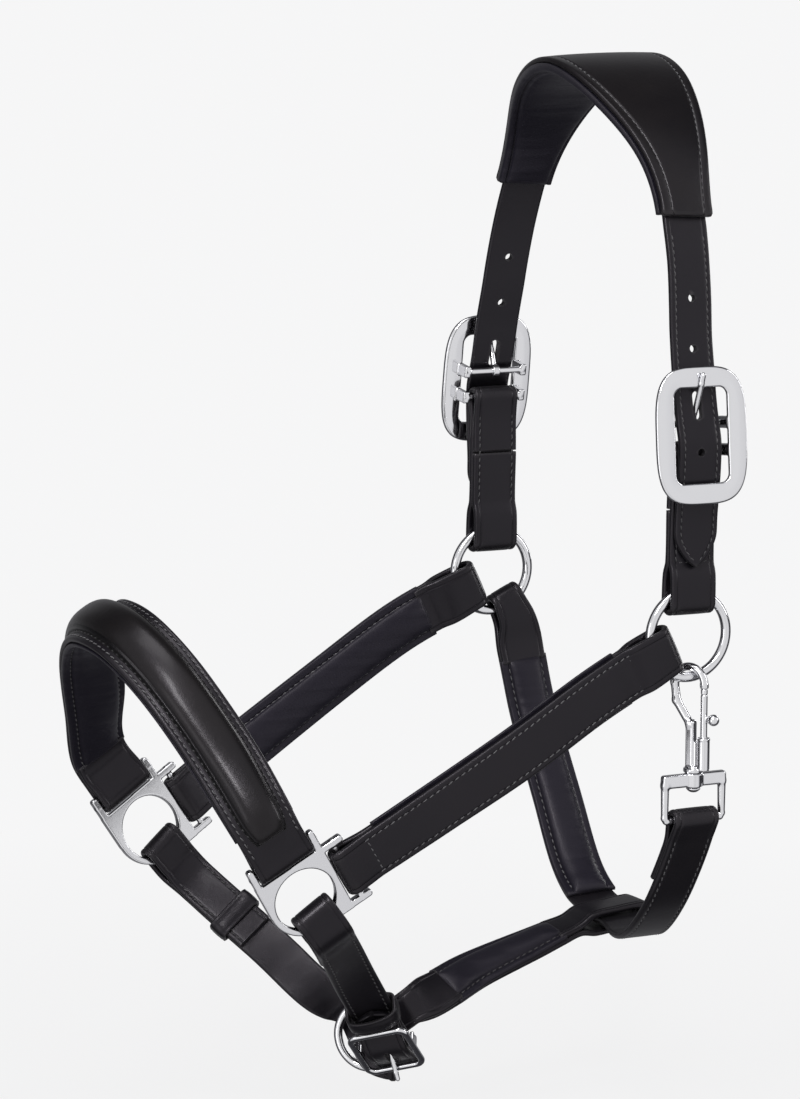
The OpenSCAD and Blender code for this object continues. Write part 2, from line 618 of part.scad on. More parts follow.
snap_eye();
snap_hook();
snap_bolt();
snap_spring();
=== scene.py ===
# A horse's halter, standing as it is worn. The nose points to -x, z is up, the near (left) side
# is at -y and the far side at +y; the lead ring under the jaw is centred on the origin.
# Halter sizes are millimetres; floor, lights and camera are in metres. A place on a strap is
# (along, lift, across): distance along its line, height off it outwards, distance across.
import json
import random
from math import cos, pi, radians, sin

import bpy
import numpy as np
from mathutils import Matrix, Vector


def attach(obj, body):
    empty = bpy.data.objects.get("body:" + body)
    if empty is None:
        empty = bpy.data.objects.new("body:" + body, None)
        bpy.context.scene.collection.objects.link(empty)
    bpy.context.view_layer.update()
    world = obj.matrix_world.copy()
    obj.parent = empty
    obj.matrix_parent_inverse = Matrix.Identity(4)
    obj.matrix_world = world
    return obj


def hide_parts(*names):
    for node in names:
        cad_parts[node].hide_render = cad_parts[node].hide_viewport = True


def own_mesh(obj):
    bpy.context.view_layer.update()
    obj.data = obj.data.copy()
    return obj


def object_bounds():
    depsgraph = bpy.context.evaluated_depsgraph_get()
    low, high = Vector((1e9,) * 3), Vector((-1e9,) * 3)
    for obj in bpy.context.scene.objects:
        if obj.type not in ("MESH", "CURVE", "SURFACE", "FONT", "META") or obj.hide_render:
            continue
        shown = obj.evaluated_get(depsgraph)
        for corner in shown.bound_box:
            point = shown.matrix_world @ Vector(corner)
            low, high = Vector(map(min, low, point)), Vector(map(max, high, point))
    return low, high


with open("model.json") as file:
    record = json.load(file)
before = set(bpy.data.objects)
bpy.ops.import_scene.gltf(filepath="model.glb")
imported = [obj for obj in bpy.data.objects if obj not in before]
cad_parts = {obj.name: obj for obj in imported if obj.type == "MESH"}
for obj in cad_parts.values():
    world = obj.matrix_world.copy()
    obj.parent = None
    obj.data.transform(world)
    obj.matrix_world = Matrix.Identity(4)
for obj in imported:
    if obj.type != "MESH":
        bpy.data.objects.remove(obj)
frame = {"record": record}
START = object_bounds()
random.seed(7)
RNG = np.random.default_rng(7)
MM = 0.001
MIRROR_Y = np.array([1.0, -1.0, 1.0])


# ---------------------------------------------------------------- vectors and strap lines
def vec(*parts):
    return np.array(parts, float)


def unit(vectors):
    vectors = np.asarray(vectors, float)
    return vectors / np.maximum(np.linalg.norm(vectors, axis=-1, keepdims=True), 1e-12)


def ease(x):
    x = np.clip(x, 0, 1)
    return x * x * (3 - 2 * x)


def steps(start, end, count):
    return [start + (end - start) * i / count for i in range(count + 1)]


def distances(points):
    """Distance of each point from the first, along the polyline."""
    return np.r_[0, np.cumsum(np.linalg.norm(np.diff(points, axis=0), axis=1))]


def rows_at(query, distance, table):
    """The table's columns, interpolated at the queried distances."""
    return np.stack([np.interp(query, distance, column) for column in table.T], -1)


def values_along(value, along):
    """A number, or a function of the distance along, for each distance."""
    return np.array([value(place) if callable(value) else value for place in along])


def catmull_rom(stations, samples):
    stations = np.asarray(stations, float)
    padded = np.vstack([2 * stations[0] - stations[1], stations, 2 * stations[-1] - stations[-2]])
    t = (np.arange(samples) / samples)[:, None]
    spans = []
    for i in range(len(stations) - 1):
        a, b, c, d = padded[i:i + 4]
        spans.append(0.5 * (2 * b + (c - a) * t + (2 * a - 5 * b + 4 * c - d) * t * t
                            + (3 * b - a - 3 * c + d) * t ** 3))
    return np.vstack(spans + [stations[-1:]])


class BaseLine:
    """A strap's line through stations of point and width direction, smoothed at 1 mm steps."""

    def __init__(self, stations):
        self.dense = catmull_rom(stations, samples=8)
        self.distance = distances(self.dense[:, :3])
        self.length = self.distance[-1]
        self.grid = np.linspace(0, self.length, int(self.length) + 1)
        rows = rows_at(self.grid, self.distance, self.dense)
        kernel = vec(1, 4, 8, 10, 8, 4, 1)
        kernel /= kernel.sum()
        padded = np.vstack([2 * rows[0] - rows[3:0:-1], rows, 2 * rows[-1] - rows[-2:-5:-1]])
        self.rows = np.stack([np.convolve(column, kernel, mode="valid")
                              for column in padded.T], 1)

    def frame(self, along):
        """Point, width direction, running direction and outward normal."""
        along = np.asarray(along, float)
        rows = rows_at(along, self.grid, self.rows)
        behind = np.clip(along - 1.0, 0, self.length - 2.0)
        run = unit(rows_at(behind + 2.0, self.grid, self.rows)[..., :3]
                   - rows_at(behind, self.grid, self.rows)[..., :3])
        beyond = np.minimum(along, 0) + np.maximum(along - self.length, 0)
        point = rows[..., :3] + beyond[..., None] * run
        width = rows[..., 3:]
        width = unit(width - (width * run).sum(-1, keepdims=True) * run)
        return point, width, run, np.cross(width, run)

    def frame_at(self, along):
        return [part[0] for part in self.frame(np.array([float(along)]))]

    def at(self, along, lift, across):
        point, width, _, normal = self.frame(along)
        return (point + np.asarray(lift, float)[..., None] * normal
                + np.asarray(across, float)[..., None] * width)


# ---------------------------------------------------------------- sizes and places
HALF_WIDTH = 104.0                       # midplane to the cheek rings
RING_RADIUS, RING_WIRE = 21.5, 2.5       # cheek rings
LEAD_RADIUS, LEAD_WIRE = 17.0, 2.2       # lead ring
SQUARE_BAR = 25.2                        # halter square: centre to its bars
SQUARE_HALF = 19.4
SQUARE_EYE = 16.0                        # radius of its hole
SQUARE_THICKNESS = 4.0
LEATHER = 3.2                            # strap thickness
LAYER = LEATHER / 2 + 0.1                # lift of each layer where a strap lies double
FACE = LAYER + LEATHER / 2               # outer face of a double strap

RING_CENTRE = vec(122.7, -HALF_WIDTH, 214)
SQUARE_CENTRE = vec(-81.7, -90, 97.7)
SQUARE_X = unit(vec(0.854, -0.13, 0.519))
SQUARE_Z = unit(np.cross(SQUARE_X, vec(-0.519, -0.13, 0.854)))
SQUARE_Y = np.cross(SQUARE_Z, SQUARE_X)

SNAP_X, SNAP_Y = 125.5, -HALF_WIDTH - 2.4   # the snap's swivel axis
EYE_Z = 121.0                               # height of the snap's lower bar

LEAD_NORMAL = unit(vec(-0.682, -0.724, 0.103))
LEAD_OUT = unit(np.cross(np.cross(LEAD_NORMAL, vec(0.62, -0.498, 0.594)), LEAD_NORMAL))
LEAD_SIDE = np.cross(LEAD_NORMAL, LEAD_OUT)


def on_square(x, y, z):
    return SQUARE_CENTRE + x * SQUARE_X + y * SQUARE_Y + z * SQUARE_Z


def on_lead(out, side, normal):
    return out * LEAD_OUT + side * LEAD_SIDE + normal * LEAD_NORMAL


def station(point, width):
    return [*point, *width]


def symmetric(half, middle):
    far = [[x, -y, z, wx, -wy, wz] for x, y, z, wx, wy, wz in reversed(half)]
    return half + middle + far


# Stations of every line: x, y, z, then the width direction.
CROWN = BaseLine(symmetric([
    [122.7, -HALF_WIDTH, 235.5, 1, 0, 0], [123.2, -104, 278, 1, 0, 0],
    [123.6, -105, 319.5, 1, 0, 0], [124.6, -102, 355, 1, 0.02, 0],
    [128, -91, 405, 1, 0.06, 0], [130.5, -69.5, 450, 1, 0.05, 0.02],
    [129.5, -37, 479, 1, 0.02, 0.02]], [[128.5, 0, 490, 1, 0, 0]]))
CHEEK = BaseLine([
    station(on_square(SQUARE_BAR, 0, 0), -SQUARE_Y),
    station(on_square(SQUARE_BAR + 30, 0, 1), -SQUARE_Y),
    [25, -105.5, 161, 0.5, 0, -0.86], [68, -106.5, 186.8, 0.52, 0, -0.85],
    station(RING_CENTRE + RING_RADIUS * vec(-0.88, 0, -0.475), (0.475, 0, -0.88))])
NOSE = BaseLine(symmetric([
    station(on_square(0, SQUARE_BAR, 0), SQUARE_X),
    station(on_square(0, SQUARE_BAR + 24, 0), SQUARE_X),
    [-119, -74.5, 169.5, 0.854, 0.05, 0.52], [-133, -50, 200, 0.84, 0.05, 0.53],
    [-142, -24.5, 217.5, 0.85, 0.02, 0.52]], [[-145, 0, 222.3, 0.854, 0, 0.52]]))
THROAT = BaseLine([
    [132.6, HALF_WIDTH, 194.9, 0.9, 0, 0.46], [137.2, 103.2, 184, 0.93, 0, 0.38],
    [139.6, 100.5, 166, 1, 0, 0.15], [142, 92, 138, 1, 0, 0.1],
    [144.3, 70, 97.5, 1, -0.1, 0.05], [143.2, 44, 63.5, 0.98, -0.15, 0.05],
    [141, 14, 49.8, 0.99, -0.12, 0.08], [139, -14, 48.6, 0.99, -0.08, 0.08],
    [130.5, -47, 51.2, 0.97, 0, 0], [124.8, -79, 73.4, 1, 0, 0],
    [SNAP_X, -99, 104, 1, 0, 0], [SNAP_X, SNAP_Y, EYE_Z, 1, 0, 0]])
JAW = BaseLine([
    station(LEAD_RADIUS * LEAD_OUT, LEAD_SIDE), station(on_lead(LEAD_RADIUS + 11, 0, 0), LEAD_SIDE),
    [36, -10.5, 22, -0.22, 0.76, 0.6], [58, -3, 28, -0.12, 0.88, 0.45],
    [92, 0, 37.5, 0, 0.97, 0.25], [118, 0, 45.5, 0, 1, 0.05],
    [139.6, 0, 48.5, 0, 1, 0], [158, 0, 50.1, 0, 1, 0]])
CHIN_START, CHIN_NEXT = on_square(1, -17.7, 0), on_square(2, -27, -0.6)
NEAR_CHIN = BaseLine([
    station(CHIN_START, -SQUARE_X), station(CHIN_NEXT, -SQUARE_X),
    [-54, -72, 64.5, -0.7, 0.2, -0.66], [-35, -50.5, 44, -0.62, 0.4, -0.6],
    [-17, -35.5, 22.9, -0.5, 0.64, -0.55], [-6.6, -29.3, 6.7, -0.47, 0.69, -0.54],
    [3.9, -24, -9.5, -0.47, 0.69, -0.54]])


def on_near_chin(beyond_end, lift, across, width=None):
    """A far chin strap station, placed from the near chin strap's end."""
    point, direction, _, normal = NEAR_CHIN.frame_at(NEAR_CHIN.length + beyond_end)
    return station(point + lift * normal + across * direction,
                   -direction if width is None else width)


FAR_CHIN = BaseLine([
    station(CHIN_START * MIRROR_Y, SQUARE_X * MIRROR_Y),
    station(CHIN_NEXT * MIRROR_Y, SQUARE_X * MIRROR_Y),
    [-55, 71, 63, 0.7, 0.08, 0.7], [-36, 46, 41, 0.71, 0.05, 0.68],
    [-20, 23, 20.5, 0.7, -0.05, 0.67],
    station(on_lead(-3.5, 17, -6.5), LEAD_OUT), station(on_lead(-2.3, 1, 0.5), LEAD_OUT),
    station(on_lead(-1.6, -10, 7), LEAD_OUT), station(on_lead(3, -16.5, 8.3), LEAD_OUT),
    on_near_chin(3.6, -4.4, 1.8, (0.52, -0.64, 0.55)), on_near_chin(1.2, -0.4, 0.5),
    on_near_chin(-3, 1.5, 0), on_near_chin(-9, 4.4, 0), on_near_chin(-16, 7, 0),
    on_near_chin(-24, 6.2, 0), on_near_chin(-33, 5.4, 0), on_near_chin(-45, 5.4, 0)])

TONGUE_BAR = 84.1                        # crown buckle bars, along the crown line
CHAPE_BAR = TONGUE_BAR - 13.5
THROAT_MIDDLE = float(np.interp(0, THROAT.dense[::-1, 1], THROAT.distance[::-1]))
JAW_LOOP = JAW.length - 18.5             # start of the jaw strap's loop round the throat strap
CHIN_BAR = NEAR_CHIN.length - 16


# ---------------------------------------------------------------- meshes
PIECES = []


def body_of(name):
    bodies = frame["record"]["behaviour"]["bodies"]
    return next((body for body, names in bodies.items() if name in names), None)


def new_object(name, verts, faces):
    mesh = bpy.data.meshes.new(name)
    mesh.from_pydata(verts, [], [tuple(int(i) for i in face) for face in faces])
    mesh.validate()
    mesh.update()
    ob = bpy.data.objects.new(name, mesh)
    bpy.context.scene.collection.objects.link(ob)
    return ob


def shade_smooth(mesh):
    mesh.polygons.foreach_set("use_smooth", [True] * len(mesh.polygons))


def piece(name, shell, material, body=None, mirrored=False, stands_in=True):
    """An object from a shell in millimetres; it stands in for the CAD piece of its name."""
    verts, faces = shell
    if mirrored:
        verts = verts * MIRROR_Y
        faces = [face[::-1] for face in faces]
    ob = new_object(name + "_piece", (verts * MM).tolist(), faces)
    shade_smooth(ob.data)
    ob.data.materials.append(material)
    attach(ob, body or body_of(name))
    if stands_in:
        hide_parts(name)
    PIECES.append(ob)
    return ob


def pair(name, shell, material, bodies=(None, None), stands_in=True):
    """The same piece on the near side and, mirrored, on the far side."""
    for side, body in zip(("near", "far"), bodies):
        piece(f"{side}_{name}", shell, material, body, side == "far", stands_in)


def face_outward(verts, faces):
    """Reverses the faces when the enclosed volume comes out negative."""
    volume = 0.0
    for face in faces:
        first = verts[face[0]]
        for i in range(1, len(face) - 1):
            volume += np.dot(first, np.cross(verts[face[i]], verts[face[i + 1]]))
    return (verts, faces) if volume > 0 else (verts, [face[::-1] for face in faces])


def loft(rings, closed=False):
    """A shell through equal rings of points, capped unless it closes on itself."""
    rings = np.asarray(rings, float)
    count, size = rings.shape[:2]
    faces = []
    for i in range(count if closed else count - 1):
        here, there = i * size, (i + 1) % count * size
        for k in range(size):
            j = (k + 1) % size
            faces.append((here + k, there + k, there + j, here + j))
    if not closed:
        faces.append(tuple(range(size)))
        faces.append(tuple(reversed(range((count - 1) * size, count * size))))
    return face_outward(rings.reshape(-1, 3), faces)


# ---------------------------------------------------------------- leather shells
def resample(path, step):
    """A smooth curve through (along, lift, half width) rows, evenly spaced; and its distances."""
    path = np.asarray(path, float)
    keep = [0] + [i for i in range(1, len(path))
                  if np.linalg.norm(path[i, :2] - path[i - 1, :2]) > 0.05]
    path = path[keep]
    padded = np.vstack([2 * path[0] - path[1], path, 2 * path[-1] - path[-2]])
    gaps = np.linalg.norm(np.diff(path[:, :2], axis=0), axis=1)
    gaps = np.r_[gaps[0], gaps, gaps[-1]]
    dense = [path[0]]
    for i in range(len(path) - 1):
        a, b, c, d = padded[i:i + 4]
        before, gap, after = gaps[i:i + 3]
        slope_b = (c - a) * gap / (gap + before)
        slope_c = (d - b) * gap / (gap + after)
        for t in np.linspace(0, 1, max(3, int(gap / 0.6)))[1:]:
            dense.append((2 * t ** 3 - 3 * t * t + 1) * b + (t ** 3 - 2 * t * t + t) * slope_b
                         + (-2 * t ** 3 + 3 * t * t) * c + (t ** 3 - t * t) * slope_c)
    dense = np.array(dense)
    distance = distances(dense[:, :2])
    even = np.linspace(0, distance[-1], max(4, int(distance[-1] / step)) + 1)
    return rows_at(even, distance, dense), even


def section_places(half, groove):
    """Places across a strap, dense at its edges and at the groove."""
    from_edge = [0, 0.05, 0.18, 0.42, 0.75, 1.15, 1.6]
    from_edge += [groove + q for q in (-0.7, -0.35, -0.12, 0.12, 0.35, 0.7)]
    from_edge = np.array(sorted(from_edge))
    reach = max(from_edge.max() + 1.0, 3.0)
    shrink = np.minimum(1.0, 0.92 * half / reach)[:, None]
    left = -half[:, None] + from_edge[None, :] * shrink
    inner = (half - reach * shrink[:, 0])[:, None]
    middle = np.linspace(-1, 1, 9)[None, :] * np.maximum(inner, 0.02)
    return np.hstack([left, middle, -left[:, ::-1]])


def rounding(from_edge, radius):
    """How far a rounded edge drops below its face."""
    drop = radius - np.sqrt(np.maximum(
        radius ** 2 - (radius - np.clip(from_edge, 0, None)) ** 2, 0))
    return np.where(from_edge < radius, drop, 0)


def strip(line, path, groove, crown, step, thickness=LEATHER, depth=0.28, wobble=0.0, seed=0,
          grain=1):
    """Leather along a path; groove is its distance in from the edge on the grain side."""
    rows, distance = resample(path, step)
    run = unit(np.gradient(rows[:, :2], axis=0))
    half = rows[:, 2].copy()
    if wobble:
        count = max(3, int(distance[-1] / 18))
        draws = np.random.default_rng(seed).normal(0, 1, count)
        half = half + wobble * np.interp(distance, np.linspace(0, distance[-1], count), draws)
    x = section_places(half, groove)
    half = half[:, None]
    from_edge = half - np.abs(x)
    edge = rounding(from_edge, min(1.35, thickness * 0.48))
    swell = crown * (1 - (np.abs(x) / np.maximum(half, 0.1)) ** 2.2)
    channel = depth * np.exp(-((from_edge - groove) / 0.33) ** 2) * np.clip(half / 6, 0, 1)
    high = thickness / 2 + swell - edge - channel
    low = -(thickness / 2 - edge)
    if grain < 0:
        high, low = -low, -high
    across = np.hstack([x, x[:, ::-1]])
    rise = np.hstack([high, low[:, ::-1]])
    along = rows[:, 0:1] - run[:, 1:2] * rise
    lift = rows[:, 1:2] + run[:, 0:1] * rise
    return loft(line.at(along, lift, across))


def pillow(line, start, end, half_width, height, flange, flange_height, edge, end_ease, base=-0.1,
           step=1.5, side=-1):
    """A cushion with a flange round it, rising from base to the side given; its back is flat."""
    along = np.linspace(start, end, int((end - start) / step))
    half = values_along(half_width, along)[:, None]
    swell = np.clip(np.minimum(along - start, end - along) / end_ease, 0, 1)
    swell = np.sqrt(np.clip(1 - (1 - swell) ** 2, 0, 1))[:, None]
    from_edge = np.array(
        [0, 0.08, 0.25, 0.5, 0.8, 1.3, 2.2]
        + [flange + q for q in (-1.0, -0.5, -0.2, 0, 0.25, 0.7, 1.3, 2.2, 3.4)])
    left = -half + from_edge[None]
    x = np.hstack([left, np.linspace(-1, 1, 9)[None] * (half - flange - 4.6), -left[:, ::-1]])
    inset = half - np.abs(x)
    inner = np.clip((inset - flange) / np.maximum(half - flange, 0.5), 0, 1)
    bulge = (1 - (1 - inner) ** 2.6) ** 0.5
    rise = flange_height + (height - flange_height) * bulge * swell - rounding(inset, edge)
    rise = np.maximum(rise - 0.45 * np.exp(-((inset - flange) / 0.45) ** 2), 0.12)
    lift = base + side * np.hstack([rise, np.zeros_like(rise)])
    return loft(line.at(along[:, None], lift, np.hstack([x, x[:, ::-1]])))


def keeper(line, along, half_width, low, high, width, belly=0.0, thickness=1.8):
    """A loop of leather round a strap, with a bead along each rim."""
    point, across, run, normal = line.frame_at(along)
    half_x, half_z = half_width + thickness / 2, (high - low) / 2 + thickness / 2
    angle = np.linspace(0, 2 * pi, 96, endpoint=False)
    x = np.sign(np.cos(angle)) * np.abs(np.cos(angle)) ** 0.32 * half_x
    z = np.sign(np.sin(angle)) * np.abs(np.sin(angle)) ** 0.45 * half_z
    z = z + np.where(z > 0, belly * (1 - (x / half_x) ** 2), 0)
    loop = np.stack([x, z + (low + high) / 2], 1)
    tangent = unit(np.roll(loop, -1, 0) - np.roll(loop, 1, 0))
    outward = np.stack([tangent[:, 1], -tangent[:, 0]], 1)
    end, skin = width / 2, thickness / 2
    # one rim's half of the outer face: in from the rim, below the skin
    rim = [(0, 0.5), (0.2, 0.15), (0.6, 0), (1.2, 0.14), (1.9, -0.1)]
    profile = [(-end, -skin + 0.5)] + [(-end + q, skin - drop) for q, drop in rim]
    profile += [(0, skin + 0.2)] + [(end - q, skin - drop) for q, drop in reversed(rim)]
    profile += [(end, -skin + 0.5), (end - 0.5, -skin), (-end + 0.5, -skin)]
    rings = [[point + (centre[0] + out * away[0]) * across
              + (centre[1] + out * away[1]) * normal + q * run for q, out in profile]
             for centre, away in zip(loop, outward)]
    return loft(rings, closed=True)


def punch(line, along, radius, stretch=0.0):
    """A temporary upright cutter through a strap, stretched along it for a slot."""
    point, width, run, normal = line.frame_at(along)
    angle = np.linspace(0, 2 * pi, 28, endpoint=False)
    side = np.where(np.sin(angle) > 0, stretch / 2, -stretch / 2)
    ring = np.stack([np.cos(angle) * radius, np.sin(angle) * radius + side], 1)
    verts, faces = loft([[point + x * width + y * run + z * normal for x, y in ring]
                         for z in (-16, 16)])
    return new_object("punch", (verts * MM).tolist(), faces)


def carve(ob, cutters):
    """Cuts the holes into the mesh, then removes the cutters."""
    for cutter in cutters:
        cut = ob.modifiers.new("cut", "BOOLEAN")
        cut.operation = "DIFFERENCE"
        cut.object = cutter
        cut.solver = "EXACT"
    graph = bpy.context.evaluated_depsgraph_get()
    mesh = bpy.data.meshes.new_from_object(ob.evaluated_get(graph))
    ob.modifiers.clear()
    ob.data = mesh
    mesh.name = ob.name
    shade_smooth(mesh)
    mesh.set_sharp_from_angle(angle=radians(50))
    for cutter in cutters:
        bpy.data.objects.remove(cutter)


# ---------------------------------------------------------------- stitching
def stitch_shape():
    """A unit stitch along x: rings of points between two tips."""
    size, places = 8, (-0.82, -0.42, 0.0, 0.42, 0.82)
    verts = [(-1, 0, 0)]
    for x in places:
        radius = (1 - abs(x) ** 2.6) ** 0.5
        for k in range(size):
            angle = 2 * pi * k / size
            verts.append((x, radius * cos(angle), radius * sin(angle)))
    verts.append((1, 0, 0))
    faces = [(0, 1 + (k + 1) % size, 1 + k) for k in range(size)]
    for j in range(len(places) - 1):
        for k in range(size):
            a, b = 1 + j * size + k, 1 + j * size + (k + 1) % size
            faces.append((a, b, b + size, a + size))
    last = 1 + (len(places) - 1) * size
    faces += [(last + k, last + (k + 1) % size, len(verts) - 1) for k in range(size)]
    return np.array(verts), faces


STITCH, STITCH_FACES = stitch_shape()
SLANT, UNEVEN_SLANT, UNEVEN_LENGTH = 9.0, 2.5, 0.04   # degrees, degrees, share
STITCH_LIFT, STITCH_SAG = 0.05, 0.16

# stitch sizes
FINE = dict(pitch=3.6, length=2.6, radius=0.34)
FINEST = dict(pitch=3.5, length=2.5, radius=0.34)
WIDE = dict(pitch=3.9, length=2.8, radius=0.36)
BROAD = dict(pitch=3.8, length=2.8, radius=0.36)
MEDIUM = dict(pitch=3.8, length=2.7, radius=0.35)
SLIM = dict(pitch=3.8, length=2.7, radius=0.32)


class Thread:
    """Collects stitches into one shell."""

    def __init__(self):
        self.verts, self.faces, self.count = [], [], 0

    def sew(self, points, normals, pitch, length, radius):
        """Slanted, slightly uneven stitches along a row of surface points."""
        normals = unit(normals)
        distance = distances(points)
        total = distance[-1]
        count = max(1, int(round(total / pitch)))
        for i in range(count):
            place = (i + 0.5) * total / count
            centre = rows_at(place, distance, points)
            run = unit(rows_at(min(place + 1.2, total), distance, points)
                       - rows_at(max(place - 1.2, 0), distance, points))
            side = unit(np.cross(unit(rows_at(place, distance, normals)), run))
            up = np.cross(run, side)
            slant = radians(SLANT + RNG.normal(0, UNEVEN_SLANT))
            run, side = (run * cos(slant) + side * sin(slant),
                         side * cos(slant) - run * sin(slant))
            half = length / 2 * (1 + RNG.normal(0, UNEVEN_LENGTH))
            rise = STITCH[:, 2:3] * radius * 0.85 - STITCH_SAG * STITCH[:, 0:1] ** 2
            self.verts.append(centre + up * STITCH_LIFT + STITCH[:, 0:1] * half * run
                              + STITCH[:, 1:2] * radius * side + rise * up)
            self.faces += [tuple(k + self.count for k in face) for face in STITCH_FACES]
            self.count += len(STITCH)

    def edges(self, line, rows, size, sides=(1, -1)):
        """Rows of (start, end, lift, across, face) on both edges; face -1 is the inner face."""
        for side in sides:
            for start, end, lift, across, face in rows:
                along = np.linspace(start, end, max(3, int((end - start) / 2)))
                points = line.at(along, values_along(lift, along),
                                 side * values_along(across, along))
                self.sew(points, line.frame(along)[3] * face, **size)

    def crosswise(self, line, along, lift, reach, size):
        along = np.full(12, float(along))
        points = line.at(along, np.full(12, lift), np.linspace(-reach, reach, 12))
        self.sew(points, line.frame(along)[3], **size)

    def follow(self, line, path, inset, size, thickness=LEATHER, shares=(0, 1)):
        """Stitches on a leather path's outer face, inset from both edges."""
        rows, distance = resample(path, 1.3)
        run = unit(np.gradient(rows[:, :2], axis=0))
        start, end = (share * distance[-1] for share in shares)
        used = (distance >= start) & (distance <= end) & (rows[:, 2] > inset + 0.2)
        rows, run = rows[used], run[used]
        rise = thickness / 2 - 0.12
        for side in (-1, 1):
            across = side * (rows[:, 2] - inset)
            middle = line.at(rows[:, 0], rows[:, 1], across)
            points = line.at(rows[:, 0] - run[:, 1] * rise, rows[:, 1] + run[:, 0] * rise, across)
            self.sew(points, points - middle, **size)

    def shell(self):
        return np.vstack(self.verts), self.faces

    def piece(self, name, material):
        piece(name, self.shell(), material, body="collar", stands_in=False)

    def pair(self, name, material):
        pair(name, self.shell(), material, bodies=("collar", "collar"), stands_in=False)


# ---------------------------------------------------------------- implicit shapes
def polygonise(field, low, high, cell):
    """Surface nets: quads round the field's zero surface, drawn onto it in three passes."""
    axes = [np.arange(low[k] - 2 * cell, high[k] + 3 * cell, cell) for k in range(3)]
    values = field(np.stack(np.meshgrid(*axes, indexing="ij"), -1))
    inside = values < 0
    size = values.shape
    cells = tuple(n - 1 for n in size)
    total, hits = np.zeros(cells + (3,)), np.zeros(cells)

    def shifted(offset):
        return values[tuple(slice(o, o + n) for o, n in zip(offset, cells))]

    for k in range(3):
        first, second = [q for q in range(3) if q != k]
        for i in (0, 1):
            for j in (0, 1):
                near = [0, 0, 0]
                near[first], near[second] = i, j
                far = list(near)
                far[k] = 1
                near_value, far_value = shifted(near), shifted(far)
                crossed = (near_value < 0) != (far_value < 0)
                t = near_value[crossed] / (near_value[crossed] - far_value[crossed])
                point = np.zeros((crossed.sum(), 3)) + np.array(near, float)
                point[:, k] += t
                total[crossed] += point
                hits[crossed] += 1
    used = hits > 0
    index = -np.ones(cells, int)
    index[used] = np.arange(used.sum())
    origin = np.array([axis[0] for axis in axes])
    verts = origin + cell * (np.argwhere(used) + total[used] / hits[used][:, None])

    faces = []
    for k in range(3):
        first, second = [(1, 2), (2, 0), (0, 1)][k]
        here = [slice(1, n - 1) for n in size]
        here[k] = slice(0, size[k] - 1)
        beyond = list(here)
        beyond[k] = slice(1, size[k])
        a, b = inside[tuple(here)], inside[tuple(beyond)]
        offset = np.array([1, 1, 1])
        offset[k] = 0
        for order, leaving in ((1, a & ~b), (-1, ~a & b)):
            edges = np.argwhere(leaving) + offset
            corners = []
            for i, j in ((1, 1), (0, 1), (0, 0), (1, 0)):
                corner = edges.copy()
                corner[:, first] -= i
                corner[:, second] -= j
                corners.append(index[tuple(corner.T)])
            faces.append(np.stack(corners, 1)[:, ::order])

    delta = cell * 0.25
    for _ in range(3):
        slope = np.stack([(field(verts + delta * axis) - field(verts - delta * axis))
                          / (2 * delta) for axis in np.eye(3)], 1)
        steep = np.maximum((slope * slope).sum(1), 0.05)
        move = np.clip(field(verts) / steep, -cell * 0.6, cell * 0.6)
        verts = verts - move[:, None] * slope
    return verts, [tuple(face) for face in np.vstack(faces)]


def solid(field, low, high, cell, to_row):
    """The field's surface, carried from its own axes to the halter's."""
    verts, faces = polygonise(field, low, high, cell)
    return face_outward(to_row(verts), faces)


def placer(origin, *axes):
    axes = np.stack(axes, 0)
    return lambda points: np.asarray(points) @ axes + origin


def split(points):
    return points[..., 0], points[..., 1], points[..., 2]


def join(a, b, blend):
    """Union with a fillet."""
    share = np.clip(0.5 + 0.5 * (b - a) / blend, 0, 1)
    return b + (a - b) * share - blend * share * (1 - share)


def meet(a, b, blend):
    """Intersection with a rounded edge."""
    return -join(-a, -b, blend)


def capsule(points, start, end, radius, end_radius=None):
    start, end = vec(*start), vec(*end)
    end_radius = radius if end_radius is None else end_radius
    axis = end - start
    t = np.clip(((points - start) @ axis) / (axis @ axis), 0, 1)
    away = np.linalg.norm(points - start - t[..., None] * axis, axis=-1)
    return away - (radius + (end_radius - radius) * t)


def box(points, centre, halves, radius):
    q = np.abs(points - vec(*centre)) - (vec(*halves) - radius)
    return np.linalg.norm(np.maximum(q, 0), axis=-1) + np.minimum(q.max(-1), 0) - radius


def rounded(side, end, radius):
    """Two distances met in a rounded edge."""
    q = np.stack([side + radius, end + radius], -1)
    return np.linalg.norm(np.maximum(q, 0), axis=-1) + np.minimum(q.max(-1), 0) - radius


def upright(points, centre, radius, half, edge):
    """A cylinder along z."""
    q = points - vec(*centre)
    return rounded(np.linalg.norm(q[..., :2], axis=-1) - radius, np.abs(q[..., 2]) - half, edge)


def rectangle(x, y, centre_x, centre_y, half_x, half_y, radius):
    a, b = np.abs(x - centre_x) - half_x + radius, np.abs(y - centre_y) - half_y + radius
    outside = np.hypot(np.maximum(a, 0), np.maximum(b, 0))
    return outside + np.minimum(np.maximum(a, b), 0) - radius


def rod(points, radius, size):
    """A capped rod of one radius through points."""
    run = unit(np.gradient(points, axis=0))
    normal = unit(np.cross(run[0], vec(0.3, 0.9, 0.2)))
    angle = np.linspace(0, 2 * pi, size, endpoint=False)[:, None]
    rings = []
    for point, tangent in zip(points, run):
        normal = unit(normal - (normal @ tangent) * tangent)
        side = np.cross(tangent, normal)
        rings.append(point + radius * (np.cos(angle) * normal + np.sin(angle) * side))
    return loft(rings)


